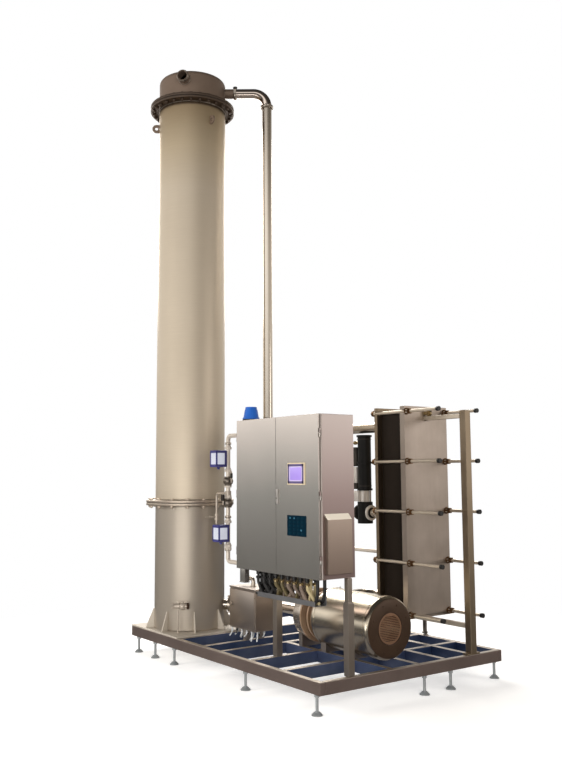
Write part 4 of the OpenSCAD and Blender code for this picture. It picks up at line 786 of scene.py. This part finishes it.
# hand valves on the metering line: dark bodies over the rings, and a grip on each lever
handValves = {"levers": [(1.539, -alongY), (1.752, alongX)], "ring": 0.043, "grip": (0.026, 0.014, 0.050),
              "lift": 0.052, "hub": (0.018, 0.016), "half": 0.034, "collars": (-0.010, 0.066),
              "collar": (0.021, 0.036, 0.012),
              "body": [(0.022, 0), (0.040, 0.004), (0.045, 0.013), (0.051, 0.034), (0.045, 0.055), (0.040, 0.064),
                       (0.022, 0.068)]}


def makeHandValves():
    body, grips, ring = Solid(), Solid(), handValves["ring"]
    for z, way in handValves["levers"]:
        at = Vector((*unions["at"], z))
        foot = at - up * handValves["half"]
        body.lathe(handValves["body"], foot, up, 32, True)
        for rise in handValves["collars"]:
            body.ring(foot + up * rise, up, *handValves["collar"], 28)
        grip = at + way * (ring + 0.018) + up * handValves["lift"]
        grips.block(grip, handValves["grip"], (way.cross(up), way, up), 0.006)
        grips.drum(at + way * (ring - 0.002), way, *handValves["hub"], 20, 0.2)
    body.finish("hand_valve_bodies", "valveGrey")
    grips.finish("hand_valve_grips", "gasketBlack", "black_plastic")


makeHandValves()

# a grip on the sample tap's lever, and two rings on its body
tapSet = {"at": (-0.614, -0.592, 1.365), "rings": [(0.006, 0.019, 0.025, 0.010), (0.048, 0.019, 0.024, 0.008)],
          "grip": (0.022, 0.062, 0.020), "out": 0.054, "rise": 0.033}


def makeTapGrip():
    solid, foot = Solid(), Vector(tapSet["at"])
    for rise, *ring in tapSet["rings"]:
        solid.ring(foot + up * rise, up, *ring, 28)
    solid.block(foot - alongY * tapSet["out"] + up * tapSet["rise"], tapSet["grip"], edge=0.006)
    solid.finish("tap_grip", "valveSteel")


makeTapGrip()
print("metering line fitted")

# the operator's screen, set in a dark surround, with a pale margin
screenSet = {"edge": 0.010, "surround": 0.019, "margin": 0.008, "lap": 0.001, "deep": (0.006, 0.008, 0.003)}


def makeScreen():
    low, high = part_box("operator_display")
    centre = middle("operator_display")
    centre.y = low.y
    wide, tall = high.x - low.x, high.z - low.z
    edge, surround, bar, lap = (screenSet[k] for k in ("edge", "surround", "margin", "lap"))
    inner, inset, pane = edge + surround / 2, edge + surround + bar / 2 - lap, 2 * (edge + surround)
    dark, glass, margin = Solid(), Solid(), Solid()
    darkDeep, glassDeep, marginDeep = screenSet["deep"]
    length = (wide - 2 * edge, tall - 2 * edge)
    dark.frame(centre, (wide / 2 - inner, tall / 2 - inner), length, surround, darkDeep, 0.001)
    dark.finish("screen_surround", "bezelDark", "display", "right_leaf")
    size = (wide - pane + 2 * lap, glassDeep, tall - pane + 2 * lap)
    glass.block(centre + alongY * 0.003, size, edge=0.001)
    glass.finish("screen_glass", "screenGlow", "display", "right_leaf")
    reach = (wide / 2 - inset, tall / 2 - inset)
    margin.frame(centre - alongY * 0.0005, reach, (wide - pane, tall - pane), bar, marginDeep)
    margin.finish("screen_margin", "marginPale", "display", "right_leaf")


makeScreen()

# keys and three lights on the key panel
keySet = {"across": 4, "rows": 5, "key": (0.030, 0.005, 0.018), "lights": (0.006, 0.008), "place": (0.24, 0.30)}


def makeKeys():
    low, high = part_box("key_panel")
    wide, tall = high.x - low.x, high.z - low.z
    across, rows = keySet["across"], keySet["rows"]
    small, large = keySet["lights"]
    keys, lights = Solid(), Solid()

    def light(at, radius):
        lights.lathe([(0, 0), (radius, 0), (radius, 0.002), (radius - 0.002, 0.0035), (0, 0.004)], at, -alongY, 20)

    for i in range(across):
        for k in range(rows):
            x, z = low.x + wide * (i + 0.8) / (across + 0.6), low.z + tall * (k + 0.75) / (rows + 0.5)
            at = Vector((x, low.y - 0.0005, z))
            if k == rows - 1 and i in (0, 1):
                light(at, small)
            else:
                keys.block(at, keySet["key"], edge=0.0015)
    light(Vector((high.x - wide * keySet["place"][0], low.y, low.z + tall * keySet["place"][1])), large)
    keys.finish("panel_keys", "keyTop", "keys", "right_leaf")
    lights.finish("panel_lights", "keyLight", "keys", "right_leaf")


makeKeys()

# the swing handle: a lever over a lock cover, on a narrow plate
handleSet = {"plate": (0.016, 0.006, 0.124), "lever": (0.021, 0.012, 0.070), "cover": (0.021, 0.010, 0.040),
             "out": (0.002, 0.008, 0.006), "lock": (0.007, 0.004), "lift": 0.010}


def makeHandle():
    centre = middle("door_handle") + up * handleSet["lift"]
    centre.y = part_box("right_door")[0].y
    plate, lever, cover = (handleSet[k] for k in ("plate", "lever", "cover"))
    plateOut, leverOut, coverOut = (alongY * out for out in handleSet["out"])
    solid = Solid()
    solid.block(centre - plateOut, plate, edge=0.002)
    solid.block(centre + up * ((plate[2] - lever[2]) / 2) - leverOut, lever, edge=0.004)
    lock = centre - up * ((plate[2] - cover[2]) / 2) - coverOut
    solid.block(lock, cover, edge=0.004)
    solid.drum(lock - alongY * (cover[1] / 2 - 0.001), -alongY, *handleSet["lock"], 20, 0.3)
    made = solid.finish("swing_handle", "handleSteel", "cabinet_steel", "right_leaf")
    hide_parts("door_handle")


makeHandle()
print("cabinet front fitted")

# beacon: ribs down the lens and a cable gland at its foot
beaconSet = {"ribs": 20, "taper": 100 / 140, "rib": 0.0022, "foot": 0.006, "head": 0.024, "lip": 0.006, "tall": 0.014,
             "nut": (0.0102, 0.012), "gland": (0.0119, 0.030)}


def makeBeacon():
    low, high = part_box("beacon_lens")
    centre, foot = middle("beacon_lens"), halfSize("beacon_lens").x
    head = foot * beaconSet["taper"]
    ribs, gland = Solid(), Solid()
    for i in range(beaconSet["ribs"]):
        turn = 360 * i / beaconSet["ribs"]
        bottom = polar(centre, turn, foot - 0.002, low.z + beaconSet["foot"])
        top = polar(centre, turn, head + 0.004, high.z - beaconSet["head"])
        ribs.rod([bottom, top], beaconSet["rib"], sides=6)
    rest = Vector((centre.x, centre.y, low.z))
    ribs.ring(rest, up, foot - 0.004, foot + beaconSet["lip"], beaconSet["tall"])
    ribs.finish("beacon_ribs", "lensBlue", "beacon_blue")
    side = Vector((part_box("beacon_base")[0].x + 0.004, centre.y, middle("beacon_base").z + 0.003))
    gland.hexagon(side, -alongX, *beaconSet["nut"])
    gland.drum(side - alongX * beaconSet["nut"][1], -alongX, *beaconSet["gland"], 16, 0.25)
    gland.finish("beacon_gland", "blackPlastic", "black_plastic")


makeBeacon()

# motor: brown end plate round the grille, its screws, and two bands on the shroud
motorSet = {"inner": 0.130, "shoulder": 0.040, "thick": 0.003, "screws": 8, "ring": 0.198, "washer": (0.010, 0.0012),
            "screw": [(0, 0), (0.0075, 0), (0.0075, 0.003), (0.005, 0.0055), (0, 0.006)],
            "bands": (0.044, 0.690), "band": 0.022}


def makeMotorEnd():
    low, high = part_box("motor_shroud")
    axis, radius = middle("motor_shroud"), halfSize("motor_shroud").z
    axis.x = high.x
    plate, screws, bands = Solid(), Solid(), Solid()
    inner, shoulder, thick, ring = (motorSet[k] for k in ("inner", "shoulder", "thick", "ring"))
    flat, curve = radius - shoulder, shoulder + 0.002
    steps = [math.radians(a) for a in range(5, 33, 9)]
    arc = [(flat + curve * math.sin(a), curve * math.cos(a) - shoulder) for a in steps]
    back = [(flat + 0.012, -0.020), (flat, -0.002), (inner, -0.002)]
    plate.lathe([(inner, thick), (flat, thick)] + arc + back, axis, alongX, 72, True)
    plate.bead(axis + alongX * thick, alongX, inner + 0.006, 0.0035, 64)
    plate.finish("motor_end_plate", "endBrown")
    for i in range(motorSet["screws"]):
        turn = math.tau * (i + 0.5) / motorSet["screws"]
        at = axis + Vector((0.0025, ring * math.cos(turn), ring * math.sin(turn)))
        screws.drum(at, alongX, *motorSet["washer"], 16)
        screws.lathe(motorSet["screw"], at + alongX * 0.001, alongX, 16)
    screws.finish("motor_end_screws", "endBrown")
    for place in motorSet["bands"]:
        start = Vector((low.x + place, axis.y, axis.z))
        bands.ring(start, alongX, radius - 0.001, radius + 0.0025, motorSet["band"], 96)
    bands.finish("motor_bands", "shroudSteel")


makeMotorEnd()

# gas box: a door on its front with a latch and two hinges
boxDoor = {"gap": 0.014, "thick": 0.012, "lid": 0.014, "sink": 0.008, "hinge": (0.005, 0.040), "hinges": (0.2, 0.8),
           "latch": (0.050, 0.60), "button": (0.015, 0.006), "grip": (0.008, 0.008, 0.040)}


def makeBoxDoor():
    low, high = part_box("gas_box")
    wide, tall = high.x - low.x, high.z - low.z - boxDoor["lid"]
    gap, thick, face = boxDoor["gap"], boxDoor["thick"], low.y + boxDoor["sink"]
    centre = Vector(((low.x + high.x) / 2, face - thick / 2 + 0.002, low.z + tall / 2))
    door, small = Solid(), Solid()
    door.block(centre, (wide - 2 * gap, thick, tall - 2 * gap), edge=0.003)
    door.finish("gas_box_door", "boxSteel", "stainless")
    along, share = boxDoor["latch"]
    latch = Vector((low.x + along, face - thick + 0.002, low.z + tall * share))
    small.drum(latch, -alongY, *boxDoor["button"], 24, 0.2)
    small.block(latch - alongY * 0.009, boxDoor["grip"], edge=0.002)
    for share in boxDoor["hinges"]:
        hinge = Vector((high.x - 0.018, face - 0.004, low.z + tall * share))
        small.drum(hinge - up * boxDoor["hinge"][1] / 2, up, *boxDoor["hinge"], 16)
    small.finish("gas_box_latch", "fittingSteel", "stainless")


makeBoxDoor()

# long nuts and heads on the tie rods
rodSet = {"cap": 0.021, "rows": 5, "corner": 0.028, "nut": 0.048, "head": 0.028, "washer": (0.033, 0.006)}


def makeRodNuts():
    press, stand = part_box("pressure_plate")[1].x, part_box("frame_plate")[0].x
    low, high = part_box("rod_caps")
    rodR, corner, washer = rodSet["cap"], rodSet["corner"], rodSet["washer"]
    pitch = (high.z - low.z - 2 * rodR) / (rodSet["rows"] - 1)
    nuts = Solid()
    for y in (low.y + rodR, high.y - rodR):
        for k in range(rodSet["rows"]):
            for x, way, tall in ((press, alongX, rodSet["nut"]), (stand, -alongX, rodSet["head"])):
                at = Vector((x, y, low.z + rodR + pitch * k))
                nuts.drum(at, way, *washer, 28)
                nuts.hexagon(at + way * washer[1], way, corner, tall)
    nuts.finish("rod_nuts", "nutBrown", "rods")


makeRodNuts()

# jack sleeves and lock nuts on the feet of the heat exchanger
jackSet = {"pad": 0.025, "rod": 0.012, "sleeve": 0.020, "cut": (0.002, 0.004), "nut": (0.028, 0.018), "foot": 0.034,
           "head": 0.016}


def makeJacks():
    low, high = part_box("plate_feet")
    bottom, top = low.z + jackSet["foot"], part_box("frame_plate")[0].z - jackSet["head"]
    rod, sleeve, pad, tall = jackSet["rod"], jackSet["sleeve"], jackSet["pad"], top - bottom
    inset, cut = jackSet["cut"]
    side = [(sleeve - inset, 0), (sleeve, cut), (sleeve, tall - cut), (sleeve - inset, tall)]
    solid = Solid()
    for y in (low.y + pad, high.y - pad):
        at = Vector((middle("frame_plate").x, y, bottom))
        solid.lathe([(rod, 0)] + side + [(rod, tall)], at, up, 24, True)
        solid.hexagon(at - up * jackSet["nut"][1], up, *jackSet["nut"])
    solid.finish("foot_jacks", "valveGrey")


makeJacks()
print("pump set, gas box and plates fitted")

# conduits that drop from the glands into the tray, a letter for each one's kind, and two rows that fill in between
conduitSet = {"row": 0.080, "runs": "kkkoobbby", "bend": 0.035, "bed": 0.006, "thin": 0.0130,
              "fill": [(0.040, -0.008, "kkkobbobyk"), (0.118, -0.017, "kkoobkbobk")],
              "kinds": {"k": ("black", "blackPlastic"), "o": ("olive", "conduitOlive"), "b": ("brown", "conduitBrown"),
                        "y": ("yellow", "conduitYellow")}}


def makeConduits():
    low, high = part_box("cable_glands")
    tray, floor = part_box("cable_tray"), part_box("cabinet_floor")[0].z
    half = (high.y - low.y - conduitSet["row"]) / 2
    pitch = (high.x - low.x - 2 * half) / (len(conduitSet["runs"]) - 1)
    bed, bend, thin = tray[0].z + conduitSet["bed"], conduitSet["bend"], conduitSet["thin"]
    solids, rims = {kind: Solid() for kind in conduitSet["kinds"]}, Solid()
    for i, kind in enumerate(conduitSet["runs"]):
        for row in range(2):
            x, y = low.x + half + i * pitch, low.y + half + row * conduitSet["row"]
            radius = thin + 0.0015 * ((i * 2 + row * 3) % 4)
            lane = tray[0].y + 0.020 + 0.0080 * ((i * 3 + row * 5) % 10)
            ahead = (0.050 + 0.012 * ((i * 5 + row * 2) % 5)) * (1 - row * 1.9)
            stop = min(max(x + ahead * 2.2, tray[0].x + 0.012), tray[1].x - 0.012)
            drop = [(x, y, low.z + 0.004), (x, y, low.z - 0.045)]
            run = [(x + ahead * 0.6, lane, bed + radius), (stop, lane, bed + radius)]
            solids[kind].rod(drop + run, radius, bend, 14)
            nut = solids[kind] if kind == "k" else rims
            nut.hexagon(Vector((x, y, low.z - 0.012)), up, radius + 0.007, 0.014)
            nut.ring(Vector((x, y, low.z - 0.020)), up, radius - 0.001, radius + 0.005, 0.009, 20)
    for row, shift, kinds in conduitSet["fill"]:
        for i, kind in enumerate(kinds):
            x, y = low.x + half + i * pitch + shift, low.y + half + row
            lane = min(y, tray[1].y - 0.018) + 0.003 * (i % 3 - 1)
            drop = [(x, y, floor + 0.002), (x, y, low.z - 0.070)]
            run = [(x - 0.022, lane, bed + thin), (x - 0.070, lane, bed + thin)]
            solids[kind].rod(drop + run, thin, bend, 14)
            solids[kind].ring(Vector((x, y, floor - 0.012)), up, thin - 0.001, thin + 0.003, 0.013, 20)
    for kind, (name, finish) in conduitSet["kinds"].items():
        solids[kind].finish("conduits_" + name, finish, "black_plastic")
    rims.finish("conduit_nuts", "brass")


makeConduits()

# short duct under the left end of the cabinet, with a rim and two screws
ductSet = {"size": (0.076, 0.050, 0.124), "inset": 0.004, "rim": 0.010, "screw": (0.006, 0.004)}


def makeDuct():
    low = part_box("cabinet_floor")[0]
    wide, deep, tall = ductSet["size"]
    inset = ductSet["inset"]
    centre = Vector((low.x + inset + wide / 2, low.y + inset + deep / 2, low.z - tall / 2))
    solid = Solid()
    solid.block(centre, ductSet["size"], edge=0.004)
    solid.block(centre - up * (tall / 2 - 0.006), (wide + 0.004, deep + 0.004, ductSet["rim"]), edge=0.002)
    for hand in hands:
        at = centre + Vector((hand * wide * 0.3, -deep / 2 + 0.001, tall * 0.3))
        solid.drum(at, -alongY, *ductSet["screw"], 16, 0.3)
    solid.finish("floor_duct", "doorSteel", "cabinet_steel")


makeDuct()

# gas box: a valve on its lid, and fittings that hang under it
lidValve = {"from": 0.040, "to": 0.215, "deep": 0.140, "radius": 0.019, "rise": 0.070, "stem": 0.165, "bend": 0.030,
            "body": 0.036}
underSet = {"first": 0.022, "pitch": 0.0168, "count": 24, "deep": 0.024, "rows": 0.030, "nut": (0.0100, 0.014),
            "radius": 0.0065, "bend": 0.018, "ring": (0.006, 0.0105, 0.010),
            "drops": (0.084, 0.060, 0.092, 0.070, 0.088, 0.054, 0.094)}


def makeGasFittings():
    low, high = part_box("gas_box")
    y, z, head = low.y + lidValve["deep"], high.z + lidValve["rise"], high.z + lidValve["stem"]
    start, end, radius = low.x + lidValve["from"], low.x + lidValve["to"], lidValve["radius"]
    solid, pale, dark = Solid(), Solid(), Solid()
    solid.rod([(start, y, head), (start, y, z), (end, y, z), (end, y, high.z - 0.002)], radius, lidValve["bend"], 18)
    solid.ring(Vector((end, y, high.z - 0.001)), up, radius - 0.001, radius + 0.012, 0.007, 28)
    solid.hexagon(Vector((start, y, head - 0.008)), up, radius + 0.007, 0.020)
    body = lidValve["body"]
    solid.drum(Vector(((start + end - body) / 2, y, z)), alongX, radius + 0.006, body, 24, 0.2)
    solid.finish("lid_valve", "fittingSteel")
    for i in range(underSet["count"]):
        drop = underSet["drops"][i % len(underSet["drops"])]
        x = low.x + underSet["first"] + i * underSet["pitch"]
        top = Vector((x, low.y + underSet["deep"] + underSet["rows"] * (i * 2 % 5), low.z + 0.002))
        tip = top - up * drop - alongY * (0.030 - 0.012 * (i % 3))
        one = dark if i % 4 == 1 else pale
        one.hexagon(top, -up, *underSet["nut"])
        one.rod([top - up * 0.012, top - up * (drop * 0.6), tip], underSet["radius"], underSet["bend"], 12)
        one.ring(top - up * (drop * 0.5), up, *underSet["ring"], 18)
    pale.finish("box_fittings", "nippleSteel")
    dark.finish("box_plugs", "blackPlastic", "black_plastic")


makeGasFittings()

# control valve: a pale positioner between black housings, an air fitting, flanges, a yoke and bands
trimSet = {"box": (0.060, 0.100, 0.160), "boxZ": 1.805, "strap": 0.055, "front": 0.010,
           "airZ": 2.125, "air": 0.085, "airNuts": [(0.024, 0.022), (0.021, 0.020)], "airTube": 0.014,
           "housing": (0.070, 0.104), "housings": [(1.985, 0.190), (1.695, 0.060)],
           "flange": (0.050, 0.074, 0.020), "yoke": (0.030, 0.045), "block": (0.082, 0.090),
           "bands": (0.040, 0.270, 0.500)}


def makeValveTrim():
    low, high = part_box("control_valve")
    axis, radius, size = middle("control_valve"), valveSet["radius"], trimSet["box"]
    left, front = axis.x - radius, axis.y - trimSet["front"]
    foot, head = low.z + valveSet["body"], high.z - valveSet["actuator"]
    box, air, bands, bright = Solid(), Solid(), Solid(), Solid()
    at = Vector((left - size[0] / 2 + 0.008, front, trimSet["boxZ"]))
    box.block(at, size, edge=0.008)
    for hand in hands:
        box.block(at + up * (hand * trimSet["strap"]), (size[0] + 0.006, size[1] + 0.006, 0.008), edge=0.002)
    box.finish("valve_positioner", "yokeSteel")
    at, (first, last) = Vector((left + 0.004, axis.y, trimSet["airZ"])), trimSet["airNuts"]
    air.hexagon(at, -alongX, *first)
    air.drum(at - alongX * first[1], -alongX, trimSet["airTube"], trimSet["air"] - 0.030, 18, 0.15)
    air.hexagon(at - alongX * (trimSet["air"] - last[1]), -alongX, *last)
    air.finish("valve_air_fitting", "brass")
    for z, tall in trimSet["housings"]:
        bands.block(Vector((left - 0.026, front, z)), (*trimSet["housing"], tall), edge=0.008)
    seat = low.z + valveSet["body"] / 2
    bands.ring(Vector((low.x + 0.001, axis.y, seat)), alongX, *trimSet["flange"], 40)
    bright.ring(Vector((high.x - 0.001, axis.y, seat)), -alongX, *trimSet["flange"], 40)
    bright.ring(Vector((axis.x, axis.y, foot)), up, *trimSet["yoke"], head - foot, 32)
    at = Vector((left - 0.020, front, (foot + head) / 2))
    bright.block(at, (*trimSet["block"], head - foot - 0.006), edge=0.006)
    bright.finish("valve_yoke", "yokeSteel")
    for place in trimSet["bands"]:
        bands.ring(Vector((axis.x, axis.y, head + place)), up, radius - 0.001, radius + 0.004, 0.007, 40)
    bands.finish("valve_bands", "gasketBlack", "black_plastic")


makeValveTrim()

# rubber seals inside the doors
sealSet = {"inset": 0.009, "wide": 0.014, "thick": 0.005, "sink": 0.001,
           "doors": {"left_door": "left_leaf", "right_door": "right_leaf"}}


def makeSeals():
    for node, body in sealSet["doors"].items():
        low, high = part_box(node)
        centre = middle(node)
        centre.y = high.y + sealSet["thick"] / 2 - sealSet["sink"]
        wide, tall = high.x - low.x - 2 * sealSet["inset"], high.z - low.z - 2 * sealSet["inset"]
        solid = Solid()
        solid.frame(centre, (wide / 2, tall / 2), (wide, tall), sealSet["wide"], sealSet["thick"], 0.001)
        solid.finish(node + "_seal", "sealGrey", "gasket", body)


makeSeals()
print("small lines and seals fitted")

# the floor is pale, and fades out into the backdrop
stageSet = {"floor": 14.0, "grey": 0.90, "near": 2.4, "far": 4.6, "lift": 0.45}


def makeStage():
    data = bpy.data.meshes.new("floor")
    half, grey, far = stageSet["floor"] / 2, stageSet["grey"], stageSet["far"]
    data.from_pydata([(-half, -half, 0), (half, -half, 0), (half, half, 0), (-half, half, 0)], [], [(0, 1, 2, 3)])
    floor = bpy.data.objects.new("floor", data)
    bpy.context.scene.collection.objects.link(floor)
    more = {"Specular IOR Level": 0.0, "Emission Color": rgba((1.0, 1.0, 1.0)), "Emission Strength": stageSet["lift"]}
    made = Finish("floorPale", roughness=0.8, **more)
    made.put("Base Color", made.noise(0.4).blend((grey - 0.02,) * 3, (grey + 0.02,) * 3))
    reach = made.wire.node("VectorMath", {"operation": "LENGTH"}, {0: made.place}, "Value")
    made.put("Alpha", ((far - reach) / (far - stageSet["near"])).clip())
    data.materials.append(made.material)
    floor.visible_glossy = False  # bright metal shows the dark of the room below, not this sheet


# a lamp marked diffuse is not mirrored in the metal
lamps = {
    "key": {"at": (-2.2, -9.8, 4.0), "to": (-0.9, -0.6, 3.0), "size": (3.6, 5.0), "watts": 640, "diffuse": True,
            "tint": (1.0, 0.95, 0.87)},
    "front": {"at": (10.2, -5.0, 3.2), "to": (-0.8, -0.5, 2.4), "size": (4.0, 3.6), "watts": 820, "diffuse": True,
              "tint": (1.0, 0.95, 0.88)},
    "side": {"at": (8.5, 5.2, 2.8), "to": (0.8, 0.2, 1.5), "size": (4.0, 3.4), "watts": 90, "tint": (1.0, 0.94, 0.90)},
    "low": {"at": (2.5, -5.40, 0.75), "to": (-1.1, -0.6, 0.9), "size": (5.0, 1.2), "watts": 60,
            "tint": (1.0, 0.96, 0.90)},
    "rear": {"at": (-5.6, 2.2, 6.0), "to": (0.8, -0.1, 0.8), "size": (6.5, 3.4), "watts": 560,
             "tint": (1.0, 0.97, 0.93)},
}


def makeLamps():
    for name, lamp in lamps.items():
        data = bpy.data.lights.new(name, "AREA")
        data.shape = "RECTANGLE"
        data.size, data.size_y = lamp["size"]
        data.energy, data.color = lamp["watts"], lamp["tint"]
        light = bpy.data.objects.new(name, data)
        light.location = lamp["at"]
        light.rotation_euler = (Vector(lamp["to"]) - Vector(lamp["at"])).to_track_quat("-Z", "Y").to_euler()
        light.visible_glossy = not lamp.get("diffuse", False)
        bpy.context.scene.collection.objects.link(light)


# the room is a bright band about eye level, with a dark ceiling and a dim floor, and dimmer on one side
room = {
    "stops": [
        (0.00, (0.300, 0.280, 0.260)),
        (0.30, (0.300, 0.280, 0.260)),
        (0.42, (0.095, 0.090, 0.086)),
        (0.46, (0.085, 0.080, 0.078)),
        (0.50, (0.300, 0.290, 0.275)),
        (0.54, (0.950, 0.915, 0.870)),
        (0.60, (1.200, 1.160, 1.105)),
        (0.645, (1.500, 1.450, 1.385)),
        (0.70, (0.420, 0.390, 0.360)),
        (0.77, (0.080, 0.074, 0.068)),
        (1.00, (0.050, 0.048, 0.046)),
    ],
    "dim": {"toward": (0.866, 0.500, 0.0), "from": 0.30, "over": 0.60, "share": (0.50, 0.525, 0.56), "above": 0.59,
            "within": 0.06, "drop": 0.035},
}


def makeRoom():
    world = bpy.data.worlds.new("room")
    bpy.context.scene.world = world
    world.use_nodes = True
    tree = world.node_tree
    tree.nodes.clear()
    wire, dim, white = Wire(tree), room["dim"], (1.0, 1.0, 1.0)
    way = wire.node("TexCoord", out="Generated")
    height = wire.node("SeparateXYZ", None, {0: way}, "Z") * 0.5 + 0.5
    turned = wire.node("VectorMath", {"operation": "DOT_PRODUCT"}, {0: way, 1: dim["toward"]}, "Value")
    right = ((turned - dim["from"]) / dim["over"]).clip()
    height = height + ((height - dim["above"]) / dim["within"]).clip() * right * dim["drop"]
    band = wire.node("ValToRGB", {"stops": room["stops"]}, {0: height})
    shade = right.blend(white, [1.0 - part for part in dim["share"]])
    lit = wire.node("Background", None, {"Color": wire.mix(1.0, band, shade, "MULTIPLY"), "Strength": 1.0})
    seen = wire.node("Background", None, {"Color": rgba(white), "Strength": 1.0})
    eye = wire.node("LightPath", out="Is Camera Ray")
    both = wire.node("MixShader", None, {0: eye, 1: lit, 2: seen})
    end = tree.nodes.new("ShaderNodeOutputWorld")
    tree.links.new(both.socket, end.inputs["Surface"])


makeStage()
makeLamps()
makeRoom()
bpy.context.scene.view_settings.view_transform = "Standard"
print("stage set")
